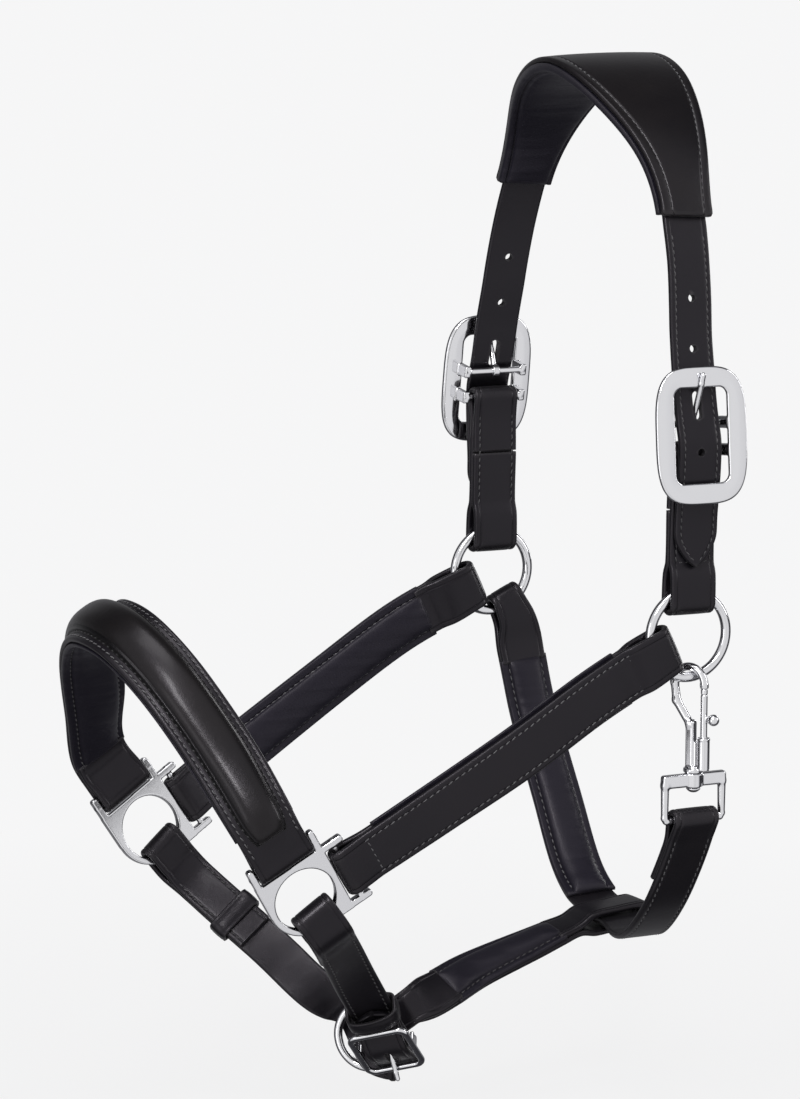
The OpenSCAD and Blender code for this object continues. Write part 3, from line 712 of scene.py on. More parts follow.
# ---------------------------------------------------------------- shader graphs
class Graph:
    """A node tree; a setting named after an input feeds it, others set the node itself."""

    def __init__(self, owner, output):
        owner.use_nodes = True
        self.tree = owner.node_tree
        self.tree.nodes.clear()
        self.output = self.node(output).inputs[0]

    def feed(self, socket, value):
        if isinstance(value, bpy.types.NodeSocket):
            self.tree.links.new(value, socket)
        elif socket.type == "RGBA":
            socket.default_value = (*value, 1)
        else:
            socket.default_value = value

    def node(self, kind, **settings):
        node = self.tree.nodes.new("ShaderNode" + kind)
        for key, value in settings.items():
            socket = node.inputs.get(key.replace("_", " "))
            if socket is None:
                setattr(node, key, value)
            else:
                self.feed(socket, value)
        return node

    def math(self, operation, *operands, clamp=False):
        node = self.node("Math", operation=operation, use_clamp=clamp)
        for socket, value in zip(node.inputs, operands):
            self.feed(socket, value)
        return node.outputs[0]

    def noise(self, place, **settings):
        return self.node("TexNoise", Vector=place, **settings).outputs["Fac"]

    def mix(self, kind, factor, first, second, **settings):
        slot_a, slot_b, result = {"RGBA": (6, 7, 2), "VECTOR": (4, 5, 1)}[kind]
        node = self.node("Mix", data_type=kind, **settings)
        for slot, value in ((0, factor), (slot_a, first), (slot_b, second)):
            self.feed(node.inputs[slot], value)
        return node.outputs[result]

    def mix_shader(self, factor, first, second):
        node = self.node("MixShader")
        for socket, value in zip(node.inputs, (factor, first, second)):
            self.feed(socket, value)
        return node.outputs[0]

    def ramp(self, factor, stops):
        node = self.node("ValToRGB")
        self.feed(node.inputs[0], factor)
        elements = node.color_ramp.elements
        while len(elements) < len(stops):
            elements.new(0.5)
        for element, (position, color) in zip(elements, stops):
            element.position = position
            element.color = (*color, 1)
        return node.outputs[0]

    def bumps(self, parts):
        """Chained bumps from (height, strength, distance in metres)."""
        normal = {}
        for height, strength, distance in parts:
            bump = self.node("Bump", Strength=strength, Distance=distance, Height=height, **normal)
            normal = {"Normal": bump.outputs[0]}
        return bump.outputs[0]


def new_material(name):
    material = bpy.data.materials.new(name)
    graph = Graph(material, "OutputMaterial")
    return material, graph, graph.node("TexCoord").outputs["Object"]


def gray(value):
    return (value,) * 3


def leather(name, base, warm, rough, grain, cell, coat, specular, wrinkle=0.0, edge_wear_and_highlight=0.5):
    """Pebbled leather, patchy in tint, paler on its edges (partly wear, partly a painted highlight
    where the edges catch the light) and darker in its hollows (painted shade).
    """
    material, graph, place = new_material(name)
    math = graph.math
    warp = graph.node("TexNoise", Vector=place, Scale=260.0, Detail=2.0).outputs["Color"]
    warped = graph.mix("VECTOR", 0.0015, place, warp)
    cells = graph.node("TexVoronoi", Vector=warped, Scale=cell, feature="DISTANCE_TO_EDGE")
    scaled = math("MULTIPLY", cells.outputs["Distance"], 3.2)
    pebble = math("POWER", math("MINIMUM", scaled, 1.0), 0.6)
    big = graph.node("TexVoronoi", Vector=warped, Scale=cell * 0.42, feature="SMOOTH_F1")
    pores = graph.noise(place, Scale=cell * 3.2, Detail=3.0, Roughness=0.6)
    soft = graph.noise(place, Scale=34.0, Detail=4.0, Roughness=0.55, Distortion=0.4)
    patch = graph.noise(place, Scale=13.0, Detail=5.0, Roughness=0.6)
    pointed = graph.node("NewGeometry").outputs["Pointiness"]
    edge = math("MULTIPLY", math("SUBTRACT", pointed, 0.515), 14.0, clamp=True)
    hollow_shade = math("MULTIPLY", math("SUBTRACT", 0.488, pointed), 16.0, clamp=True)
    patches = graph.ramp(patch, [(0.36, gray(0)), (0.68, gray(1))])
    tint = graph.mix("RGBA", patches, base, warm)
    # paler edges: partly real wear, partly a painted highlight where the edges catch the light
    worn_and_lit_edges = graph.mix("RGBA", math("MULTIPLY", edge, edge_wear_and_highlight), tint, (0.085, 0.080, 0.084))
    # painted shade: colour darkened towards black in hollows and creases
    color = graph.mix("RGBA", math("MULTIPLY", hollow_shade, 0.8), worn_and_lit_edges, (0.003, 0.003, 0.0035))
    gloss = math("ADD", math("MULTIPLY", patch, 0.16), rough - 0.08)
    between = math("MULTIPLY", math("SUBTRACT", 1.0, pebble), 0.10 * grain)
    gloss = math("SUBTRACT", math("ADD", gloss, between), math("MULTIPLY", edge, 0.06))
    parts = [(soft, 0.35, 0.0009), (big.outputs["Distance"], 0.10 * grain, 0.0004),
             (pebble, 0.26 * grain, 0.00012), (pores, 0.18 * grain, 0.00006)]
    if wrinkle:
        stretched = graph.node("Mapping", Vector=place, Scale=(0.10, 0.35, 1.0)).outputs[0]
        wave = graph.node("TexWave", Vector=stretched, Scale=40.0, Distortion=9.0, Detail=4.0,
                          Detail_Scale=1.6, wave_type="BANDS", bands_direction="Z")
        parts.insert(1, (wave.outputs["Fac"], 0.55 * wrinkle, 0.0011))
    surface = graph.node(
        "BsdfPrincipled", Base_Color=color, Roughness=gloss, IOR=1.45,
        Specular_IOR_Level=specular, Specular_Tint=(0.97, 0.90, 1.0),
        Coat_Weight=coat, Coat_Roughness=0.19, Coat_IOR=1.3,
        Sheen_Weight=0.02, Sheen_Roughness=0.5, Normal=graph.bumps(parts))
    graph.feed(graph.output, surface.outputs[0])
    return material


def thread_material(name, color):
    material, graph, place = new_material(name)
    noise = graph.noise(place, Scale=2600.0, Detail=2.0)
    twist = graph.node("TexWave", Vector=place, Scale=900.0, Distortion=1.0,
                       bands_direction="DIAGONAL").outputs["Fac"]
    tint = graph.ramp(noise, [(0.3, tuple(0.6 * q for q in color)),
                              (0.7, tuple(1.5 * q for q in color))])
    surface = graph.node("BsdfPrincipled", Base_Color=tint, Roughness=0.48, Sheen_Weight=0.25,
                         Normal=graph.bumps([(twist, 0.4, 0.0001)]))
    graph.feed(graph.output, surface.outputs[0])
    return material


def chrome(name, color, rough, scratch):
    """Bright metal, uneven in gloss, finely scratched, with a little painted shade darkening its
    hollows.
    """
    material, graph, place = new_material(name)
    math = graph.math
    cloud = graph.noise(place, Scale=70.0, Detail=4.0, Roughness=0.6)
    stretched = graph.node("Mapping", Vector=place, Scale=(1.0, 1.0, 0.08),
                           Rotation=(0.5, 0.3, 0.2)).outputs[0]
    scratches = graph.noise(stretched, Scale=2400.0, Detail=2.0, Roughness=0.7)
    waviness = graph.noise(place, Scale=120.0, Detail=1.0)
    pointed = graph.node("NewGeometry").outputs["Pointiness"]
    # painted shade: base colour darkened towards grey in hollows
    pit_shade = math("MULTIPLY", math("SUBTRACT", 0.485, pointed), 10.0, clamp=True)
    gloss = math("ADD", math("MULTIPLY", cloud, 0.10), rough - 0.05)
    scratched = math("MULTIPLY", math("GREATER_THAN", scratches, 0.64), 0.06 * scratch)
    surface = graph.node(
        "BsdfPrincipled", Base_Color=graph.mix("RGBA", pit_shade, color, (0.30, 0.29, 0.30)),
        Metallic=1.0, Roughness=math("ADD", gloss, scratched),
        Normal=graph.bumps([(waviness, 0.10, 0.0004), (scratches, 0.03 * scratch, 0.00003)]))
    graph.feed(graph.output, surface.outputs[0])
    return material


BRIDLE = leather("bridle_leather", base=(0.0052, 0.0046, 0.0068), warm=(0.0088, 0.0075, 0.0098),
                 rough=0.31, grain=0.45, cell=1000.0, coat=0.18, specular=0.33)
POLL = leather("poll_cover_leather", base=(0.0055, 0.0048, 0.0062),
               warm=(0.0098, 0.0080, 0.0086),
               rough=0.30, grain=0.55, cell=850.0, coat=0.34, specular=0.26)
LINING = leather("lining_leather", base=(0.0070, 0.0062, 0.0120), warm=(0.0115, 0.0100, 0.0175),
                 rough=0.42, grain=0.8, cell=700.0, coat=0.08, specular=0.34,
                 wrinkle=0.30, edge_wear_and_highlight=0.3)
ROLL = leather("noseband_roll_leather", base=(0.0054, 0.0048, 0.0054),
               warm=(0.0092, 0.0078, 0.0080),
               rough=0.28, grain=0.55, cell=850.0, coat=0.38, specular=0.26)
BLACK_THREAD = thread_material("black_thread", color=(0.070, 0.067, 0.072))
GREY_THREAD = thread_material("grey_thread", color=(0.120, 0.116, 0.124))
STEEL = chrome("polished_chrome", color=(0.80, 0.80, 0.82), rough=0.10, scratch=1.0)
CAST = chrome("cast_chrome", color=(0.76, 0.76, 0.78), rough=0.17, scratch=1.3)


# ---------------------------------------------------------------- parts of strap paths
# A path is rows of (along, lift, half width).
def flat(half, lift, *places):
    return [(along, lift, half) for along in places]


def around(wire, gap=0.4):
    """Bend radius of leather's middle round a wire."""
    return wire + gap + LEATHER / 2


def bend(centre, direction, radius, half, deep=0.0):
    """A half turn from the outer layer to the inner; direction 1 bulges forward along."""
    angles = [radians(90 - 18 * i) for i in range(11)]
    return [(centre + direction * (deep + radius * cos(q)), radius * sin(q), half)
            for q in angles]


def wrapped_start(half, level, neck, radius, deep=0.0, neck_half=None, bend_half=None):
    """A strap's start, from its inner layer round a bar or ring to its outer layer."""
    under = [(level, -LAYER, half), (neck[0], -neck[1], neck_half or half)]
    over = [(along, -lift, width) for along, lift, width in reversed(under)]
    return under + bend(0, -1, radius, bend_half or half, deep)[::-1] + over


def bar_start(half):
    """The wrap round a bar of the halter square."""
    wrap = wrapped_start(half, level=14, neck=(6, 2.8), radius=around(1.6, 0.3))
    return flat(half, -LAYER, 24) + wrap


def both_ends(end, middle, length):
    return end + middle + [(length - along, lift, half) for along, lift, half in reversed(end)]


# ---------------------------------------------------------------- crown strap
# One long strap; its pointed ends come through the buckles and lie on the chapes.
CROWN_HALF = 12.0
# one end: along from the tongue bar, lift, half width
CROWN_END = [
    (-70.6, 5.8, 0.5), (-69, 5.7, 3.0), (-66, 5.5, 6.0), (-62, 5.35, 9.0), (-58, 5.25, 11.1),
    (-54, 5.25, 12), (-46, 5.45, CROWN_HALF), (-34, 6.3, CROWN_HALF), (-24, 6.9, CROWN_HALF),
    (-15, 7.0, CROWN_HALF), (-8, 6.55, CROWN_HALF), (0, 4.1, CROWN_HALF), (8, 1.9, CROWN_HALF),
    (16, 0.4, CROWN_HALF), (25, -0.5, CROWN_HALF), (34, -1.4, CROWN_HALF),
    (46, -2.2, CROWN_HALF)]
HOLE_PITCH = 25.0
crown_path = both_ends(
    [(TONGUE_BAR + offset, lift, half) for offset, lift, half in CROWN_END],
    flat(CROWN_HALF, -2.2, *steps(TONGUE_BAR + 58, CROWN.length - TONGUE_BAR - 58, 34)),
    CROWN.length)
crown_strap = piece("crown_strap", strip(CROWN, crown_path, groove=3.0, crown=0.15, step=1.35,
                                         wobble=0.08, seed=3), BRIDLE)
cutters = []
for used_hole, way in ((TONGUE_BAR + 12, 1), (CROWN.length - TONGUE_BAR - 12, -1)):
    cutters.append(punch(CROWN, used_hole - way * 2.8, 2.4, stretch=9.4))
    cutters += [punch(CROWN, used_hole + way * k * HOLE_PITCH, 2.0) for k in (-1, 1, 2)]
carve(crown_strap, cutters)
thread = Thread()
for shares in ((0.0, 0.285), (0.715, 1.0)):
    thread.follow(CROWN, crown_path, 3.0, FINE, shares=shares)
thread.piece("crown_strap_thread", BLACK_THREAD)

# ---------------------------------------------------------------- poll pad
POLL_START = 188.0
POLL_END = CROWN.length - POLL_START
POLL_THICKNESS, POLL_GROOVE = 3.0, 5.2


def poll_half(along):
    share = min(1, max(0, (along - POLL_START) / (POLL_END - POLL_START)))
    q = sin(pi * share)
    return 14.5 + (32 - 14.5) * q * q * (1.3 - 0.3 * q * q)


poll_path = [(along, 1.3, poll_half(along)) for along in steps(POLL_START, POLL_END, 40)]
poll_ends = flat(13.6, 1.2, POLL_START - 1.2, POLL_END + 1.2)
piece("poll_pad_cover", strip(CROWN, poll_ends[:1] + poll_path + poll_ends[1:], POLL_GROOVE,
                              crown=0.9, step=1.5, thickness=POLL_THICKNESS, depth=0.5), POLL)
piece("poll_pad_lining", pillow(CROWN, POLL_START + 0.6, POLL_END - 0.6,
                                lambda along: poll_half(along) + 0.7, height=8.6, base=-0.3,
                                flange=3.4, flange_height=4.6, end_ease=16, edge=2.0), LINING)
thread = Thread()
thread.follow(CROWN, poll_path, POLL_GROOVE, BROAD, thickness=POLL_THICKNESS)
for along in (POLL_START + 4.0, POLL_END - 4.0):
    thread.crosswise(CROWN, along, 2.95, 9.5, FINE)
thread.piece("poll_pad_thread", GREY_THREAD)

# ---------------------------------------------------------------- crown chapes
CHAPE_HALF, CHAPE_GROOVE = 12.5, 3.0
chape_path = (
    flat(CHAPE_HALF, -LAYER, 42, CHAPE_BAR - 14) + flat(CHAPE_HALF, -2.6, CHAPE_BAR - 6)
    + bend(CHAPE_BAR, 1, around(1.6), CHAPE_HALF)[::-1]
    + flat(CHAPE_HALF, 2.6, CHAPE_BAR - 6) + flat(CHAPE_HALF, LAYER, CHAPE_BAR - 14, 40, 15.5)
    + flat(CHAPE_HALF, 3.9, 9) + bend(0, -1, around(RING_WIRE), CHAPE_HALF, deep=5.2)
    + flat(CHAPE_HALF, -3.9, 9) + flat(CHAPE_HALF, -LAYER, 15.5, 41))
pair("crown_chape", strip(CROWN, chape_path, CHAPE_GROOVE, crown=0.12, grain=-1, step=1.2,
                          wobble=0.05, seed=5), BRIDLE)
thread = Thread()
chape_edge = CHAPE_HALF - CHAPE_GROOVE
thread.edges(CROWN, [(12, CHAPE_BAR - 9, lambda along: FACE - 0.1 + 1.5 * ease((14 - along) / 8),
                      chape_edge, 1)], FINE)
thread.edges(CROWN, [(14, CHAPE_BAR - 9, -FACE + 0.1, chape_edge, -1)], FINE)
thread.crosswise(CROWN, 15.5, FACE - 0.05, 8.6, FINEST)
thread.pair("crown_chape_thread", BLACK_THREAD)

# ---------------------------------------------------------------- cheek straps
CHEEK_HALF, CHEEK_GROOVE = 13.0, 3.2
CHEEK_END = CHEEK.length
cheek_path = (
    bar_start(CHEEK_HALF) + flat(CHEEK_HALF, LAYER, *steps(24, CHEEK_END - 26, 12))
    + flat(CHEEK_HALF, LAYER, CHEEK_END - 16) + flat(CHEEK_HALF, 3.8, CHEEK_END - 9)
    + bend(CHEEK_END, 1, around(RING_WIRE), CHEEK_HALF - 0.8, deep=6.4)
    + flat(CHEEK_HALF, -3.8, CHEEK_END - 9)
    + flat(CHEEK_HALF, -LAYER, CHEEK_END - 16, CHEEK_END - 24))
pair("cheek_strap", strip(CHEEK, cheek_path, CHEEK_GROOVE, crown=0.35, step=1.3, wobble=0.07,
                          seed=9), BRIDLE)
pair("cheek_padding", pillow(CHEEK, 21, CHEEK_END - 21, CHEEK_HALF + 1.3, height=6.2, flange=4.4,
                             flange_height=2.6, edge=1.2, end_ease=12), LINING)
thread = Thread()
cheek_edge = CHEEK_HALF - CHEEK_GROOVE
thread.edges(CHEEK, [(13, CHEEK_END - 13, FACE + 0.05, cheek_edge, 1),
                     (25, CHEEK_END - 25, -2.45, cheek_edge, -1)], WIDE)
for along in (15, CHEEK_END - 15):
    thread.crosswise(CHEEK, along, FACE + 0.2, 9, FINE)
thread.pair("cheek_thread", GREY_THREAD)

# ---------------------------------------------------------------- noseband
NOSE_HALF, NOSE_MIDDLE_HALF = 15.3, 17     # half widths at the ends and 70 mm in
NOSE_END = NOSE.length


def nose_half(along):
    share = min(1, min(along, NOSE_END - along) / 70)
    return NOSE_HALF + (NOSE_MIDDLE_HALF - NOSE_HALF) * ease(share)


def roll_half(along):
    share = min(1, max(0, min(along - 17, NOSE_END - 17 - along) / 12))
    return nose_half(along) - 4.6 - 2.5 * (1 - share) ** 2


nose_path = both_ends(bar_start(NOSE_HALF),
                      [(along, LAYER, nose_half(along)) for along in steps(24, NOSE_END - 24, 30)],
                      NOSE_END)
piece("noseband_strap", strip(NOSE, nose_path, groove=2.6, crown=0.1, step=1.35, wobble=0.06,
                              seed=12), BRIDLE)
piece("noseband_roll", pillow(NOSE, 17, NOSE_END - 17, roll_half, height=7.4, side=1,
                              base=FACE - 0.1, flange=1.2, flange_height=0.9, edge=0.6,
                              end_ease=13, step=1.4), ROLL)
piece("noseband_lining", pillow(NOSE, 22, NOSE_END - 22, lambda along: nose_half(along) + 0.6,
                                height=6.4, flange=4.6, flange_height=2.4, edge=1.2, end_ease=14,
                                step=1.4), LINING)
thread = Thread()
thread.edges(NOSE, [(12, NOSE_END - 12, FACE + 0.02, lambda along: nose_half(along) - 2.6, 1),
                    (24, NOSE_END - 24, -2.3, lambda along: nose_half(along) - 3.4, -1)],
             BROAD, sides=(-1, 1))
thread.piece("noseband_thread", GREY_THREAD)
thread = Thread()
thread.edges(NOSE, [(21, NOSE_END - 21, FACE + 0.75, lambda along: roll_half(along) - 0.55, 1)],
             SLIM, sides=(-1, 1))
thread.piece("noseband_roll_thread", BLACK_THREAD)

# ---------------------------------------------------------------- chin straps
CHIN_HALF, CHIN_GROOVE = 11.0, 2.8
chin_edge = CHIN_HALF - CHIN_GROOVE
chin_start = wrapped_start(CHIN_HALF, level=20, neck=(8, 3.9), radius=around(2.4), deep=6)


def far_chin_half(along):
    """Narrower within 26 mm of the lead ring's centre."""
    away = np.linalg.norm(FAR_CHIN.frame_at(along)[0])
    return CHIN_HALF - 1.5 * min(1, max(0, (26 - away) / 8))


far_end = FAR_CHIN.length
far_chin_path = (
    flat(CHIN_HALF, -LAYER, 62, 40) + chin_start + flat(CHIN_HALF, LAYER, 40, 62)
    + [(74, 1, CHIN_HALF), (86, 0, CHIN_HALF)]
    + [(along, 0, far_chin_half(along)) for along in steps(92, far_end - 9, 44)]
    + [(far_end - 6, 0, CHIN_HALF - 1.2), (far_end - 3.5, 0, CHIN_HALF - 3.4),
       (far_end - 1.2, 0, CHIN_HALF - 7.2), (far_end - 0.4, 0, 1.6)])
far_chin = piece("far_chin_strap", strip(FAR_CHIN, far_chin_path, CHIN_GROOVE, crown=0.1,
                                         step=1.15, wobble=0.05, seed=15), BRIDLE)
carve(far_chin, [punch(NEAR_CHIN, CHIN_BAR + 6, 1.9, stretch=8.0)])
thread = Thread()
thread.edges(FAR_CHIN, [(10, 60, FACE - 0.05, chin_edge, 1)], FINE)
thread.edges(FAR_CHIN, [(12, 60, -FACE + 0.05, chin_edge, -1)], FINE)
thread.piece("far_chin_thread", BLACK_THREAD)

near_chin_path = (
    flat(CHIN_HALF, -LAYER, 34) + chin_start
    + flat(CHIN_HALF, LAYER, *steps(32, CHIN_BAR - 10, 6)) + flat(CHIN_HALF, 2.6, CHIN_BAR - 5)
    + bend(CHIN_BAR, 1, around(1.5, 0.35), CHIN_HALF) + flat(CHIN_HALF, -2.6, CHIN_BAR - 5)
    + flat(CHIN_HALF, -LAYER, CHIN_BAR - 10, CHIN_BAR - 30))
near_chin = piece("near_chin_strap", strip(NEAR_CHIN, near_chin_path, CHIN_GROOVE, crown=0.1,
                                           step=1.15, wobble=0.05, seed=17), BRIDLE)
carve(near_chin, [punch(NEAR_CHIN, CHIN_BAR + 4, 1.95, stretch=12.0)])
thread = Thread()
thread.edges(NEAR_CHIN, [(11, CHIN_BAR - 9, FACE - 0.05, chin_edge, 1),
                         (13, 33, -FACE + 0.05, chin_edge, -1)], FINE)
thread.piece("near_chin_thread", BLACK_THREAD)

# ---------------------------------------------------------------- jaw strap
JAW_HALF, JAW_GROOVE = 11.0, 2.8
JAW_LOOP_RADIUS = 4.6
jaw_path = (
    flat(JAW_HALF, -LAYER, 34)
    + wrapped_start(JAW_HALF, level=20, neck=(9, 3.8), neck_half=9.2, radius=around(LEAD_WIRE),
                    deep=3.8, bend_half=9)
    + flat(JAW_HALF, LAYER, *steps(32, JAW_LOOP - 24, 8))
    + flat(JAW_HALF, JAW_LOOP_RADIUS, JAW_LOOP - 15, JAW_LOOP)
    + bend(JAW_LOOP + 13, 1, JAW_LOOP_RADIUS, JAW_HALF)
    + flat(JAW_HALF, -JAW_LOOP_RADIUS, JAW_LOOP, JAW_LOOP - 15)
    + flat(JAW_HALF, -LAYER, JAW_LOOP - 24, JAW_LOOP - 36))
piece("jaw_strap", strip(JAW, jaw_path, JAW_GROOVE, crown=0.15, step=1.2, wobble=0.06, seed=21),
      BRIDLE)
piece("jaw_padding", pillow(JAW, 32, JAW_LOOP - 33, 12.0, height=5.9, flange=3.8,
                            flange_height=2.4, edge=1.1, end_ease=11), LINING)
thread = Thread()
jaw_edge = JAW_HALF - JAW_GROOVE
thread.edges(JAW, [(12, JAW_LOOP - 18, FACE, jaw_edge, 1),
                   (35, JAW_LOOP - 37, -2.3, jaw_edge, -1)], MEDIUM)
thread.piece("jaw_thread", BLACK_THREAD)

# ---------------------------------------------------------------- throat strap
# Single where the jaw strap's loop goes round it, double elsewhere.
THROAT_HALF, THROAT_GROOVE = 12.5, 3.0
THROAT_END = THROAT.length
throat_path = (
    flat(THROAT_HALF, -LAYER, 32)
    + wrapped_start(THROAT_HALF, level=20, neck=(9, 3.8), neck_half=10.6,
                    radius=around(RING_WIRE), deep=3.1, bend_half=8.9)
    + flat(THROAT_HALF, LAYER, *steps(30, THROAT_MIDDLE - 30, 12))
    + flat(THROAT_HALF, 0, THROAT_MIDDLE - 16, THROAT_MIDDLE, THROAT_MIDDLE + 16)
    + flat(THROAT_HALF, LAYER, THROAT_MIDDLE + 30,
           *steps(THROAT_MIDDLE + 42, THROAT_END - 20, 8))
    + flat(THROAT_HALF, 1.9, THROAT_END - 11) + flat(THROAT_HALF, 3.1, THROAT_END - 5)
    + bend(THROAT_END, 1, around(2, 0.3), THROAT_HALF)
    + flat(THROAT_HALF, -3.1, THROAT_END - 5) + flat(THROAT_HALF, -1.9, THROAT_END - 11)
    + flat(THROAT_HALF, -LAYER, THROAT_END - 20, THROAT_END - 38))
piece("throat_strap", strip(THROAT, throat_path, THROAT_GROOVE, crown=0.2, step=1.3, wobble=0.07,
                            seed=23), BRIDLE)
piece("throat_padding", pillow(THROAT, 30, THROAT_MIDDLE - 27, THROAT_HALF + 1.0, height=6.2,
                               flange=4.2, flange_height=2.5, edge=1.2, end_ease=12), LINING)
thread = Thread()
throat_edge = THROAT_HALF - THROAT_GROOVE
thread.edges(THROAT, [(13, THROAT_MIDDLE - 22, FACE, throat_edge, 1),
                      (34, THROAT_MIDDLE - 31, -2.4, throat_edge, -1),
                      (THROAT_MIDDLE + 36, THROAT_END - 10, FACE, throat_edge, 1)], MEDIUM)
thread.piece("throat_thread", GREY_THREAD)

# ---------------------------------------------------------------- chin runner and keeper
piece("chin_runner", keeper(FAR_CHIN, 48, CHIN_HALF + 0.6, low=-3.95, high=3.95, width=10),
      BRIDLE)
piece("chin_buckle_keeper", keeper(NEAR_CHIN, CHIN_BAR - 24, CHIN_HALF + 0.5, low=-3.7, high=7.9,
                                   width=9, belly=2.2), BRIDLE)


# ---------------------------------------------------------------- rings
def welded_ring(centre, axis, radius, wire):
    """A ring with the fine seam of its weld."""
    axis = unit(axis)
    side = unit(np.cross(axis, vec(0.3, 0.5, 0.81)))
    other = np.cross(axis, side)
    turn = np.linspace(0, 2 * pi, 32, endpoint=False)[:, None]
    rings = []
    for angle in np.linspace(0, 2 * pi, 200, endpoint=False):
        gap = min(abs(angle - 1.1), 2 * pi - abs(angle - 1.1))
        seam = 1 + 0.03 * np.exp(-(gap / 0.06) ** 2) - 0.035 * np.exp(-(gap / 0.02) ** 2)
        out = cos(angle) * side + sin(angle) * other
        rings.append(centre + out * radius + np.cos(turn) * (wire * seam) * out
                     + np.sin(turn) * (wire * seam) * axis)
    return loft(rings, closed=True)


pair("cheek_ring", welded_ring(RING_CENTRE, (0, 1, 0), RING_RADIUS, RING_WIRE), STEEL,
     bodies=("near_ring", "far_ring"))
piece("lead_ring", welded_ring(vec(0, 0, 0), LEAD_NORMAL, LEAD_RADIUS, LEAD_WIRE), STEEL,
      body="lead_ring_body")


# ---------------------------------------------------------------- halter squares
def square_field(points):
    """A plate with a round eye, arms past two of its sides, and a bar across each pair."""
    x, y, z = split(points)
    half = SQUARE_HALF
    arm = half - 1.8
    plate = rectangle(x, y, 0, 0, half, half, 1.0)
    plate = np.where((x < 0) & (y < 0), np.maximum(plate, np.hypot(x, y) - half), plate)
    arms = np.minimum.reduce([rectangle(x, y, *spot, 1.5) for spot in (
        (-arm, 15.2, 1.8, 15.3), (arm, 15.7, 1.8, 14.8),
        (15.2, -arm, 15.3, 1.8), (15.7, arm, 14.8, 1.8))])
    outline = meet(join(plate, arms, 0.8), SQUARE_EYE - np.hypot(x, y), 0.3)
    body = rounded(outline, np.abs(z) - SQUARE_THICKNESS / 2, 0.75)
    reach = half - 1.2
    bars = np.minimum(
        capsule(points, (-reach, SQUARE_BAR, 0), (reach, SQUARE_BAR, 0), 1.6),
        capsule(points, (SQUARE_BAR, -reach, 0), (SQUARE_BAR, reach, 0), 1.6))
    return join(body, bars, 0.7)


pair("halter_square", solid(square_field, (-20, -20, -2.2), (31, 31, 2.2), 0.42,
                            placer(SQUARE_CENTRE, SQUARE_X, SQUARE_Y, SQUARE_Z)), CAST,
     bodies=("collar", "collar"))


# ---------------------------------------------------------------- buckles
def mount(line, along, lift, tilt=0.0):
    """Origin and axes on a strap, tilted by degrees about its width direction."""
    point, width, run, normal = line.frame_at(along)
    c, s = cos(radians(tilt)), sin(radians(tilt))
    return point + lift * normal, width, c * run + s * normal, c * normal - s * run


def local(place, vector):
    return np.array([vector @ axis for axis in place[1:]])


CROWN_BUCKLE = mount(CROWN, TONGUE_BAR - 5, 6.3, -6.6)
TONGUE_LIFT, TONGUE_TILT = -1.5, 22.5
tongue_bar = local(CROWN_BUCKLE, mount(CROWN, TONGUE_BAR, TONGUE_LIFT)[0] - CROWN_BUCKLE[0])
chape_bar = local(CROWN_BUCKLE, mount(CROWN, CHAPE_BAR, 0)[0] - CROWN_BUCKLE[0])
tongue_run = local(CROWN_BUCKLE, mount(CROWN, TONGUE_BAR, 0, TONGUE_TILT)[2])


def buckle_field(points):
    """A broad frame bowed in outline, notched for the tongue, two bars on lugs behind it."""
    x, y, z = split(points)
    power = 3.5
    oval = (np.abs(x / 25.5) ** power + np.abs(y / 34.0) ** power + 1e-9) ** (1 / power)
    slope = np.clip(np.abs(y) / (np.abs(x) * 1.33 + np.abs(y) + 1e-6), 0, 1)
    outer = (oval - 1) * (25.5 + 8.5 * slope)
    outline = meet(outer, -rectangle(x, y, 0, 0, 15, 23.5, 4.5), 0.4)
    half = 1.25 + 0.42 * np.sqrt(np.clip(-outline / 4.8, 0, 1))
    rim = rounded(outline, np.abs(z - 1.6) - half, 1.1)
    notch = capsule(points, tongue_bar + tongue_run * 13, tongue_bar + tongue_run * 34, 1.8)
    rim = meet(rim, -notch, 0.5)
    bars = []
    for _, bar_y, bar_z in (tongue_bar, chape_bar):
        bar = capsule(points, (-15.8, bar_y, bar_z), (15.8, bar_y, bar_z), 1.72)
        low, high = bar_z - 1.6, 1.6
        for side in (-1, 1):
            lug = box(points, (side * 16.35, bar_y, (low + high) / 2),
                      (1.75, 3.0, (high - low) / 2), 0.8)
            bar = join(bar, lug, 0.8)
        bars.append(bar)
    return join(rim, np.minimum(*bars), 0.8)


def tongue_field(loop_radius, loop_width, bore, tilt, length, radius):
    """A pin on a loop that turns about x."""
    run = vec(0, cos(radians(tilt)), sin(radians(tilt)))
    up = vec(0, -sin(radians(tilt)), cos(radians(tilt)))

    def field(points):
        x, y, z = split(points)
        away = np.hypot(y, z)
        wall = np.abs(away - (loop_radius + bore) / 2) - (loop_radius - bore) / 2
        loop = rounded(wall, np.abs(x) - loop_width / 2, 0.35)
        root = run * (loop_radius - 0.4)
        middle = run * (length * 0.78) + up * 0.12
        tip = run * (length - radius * 0.95) - up * 0.15
        pin = join(capsule(points, root, middle, radius, radius * 0.97),
                   capsule(points, middle, tip, radius * 0.97, radius * 0.9), 0.6)
        return meet(join(loop, pin, 1.0), bore - away, 0.05)
    return field


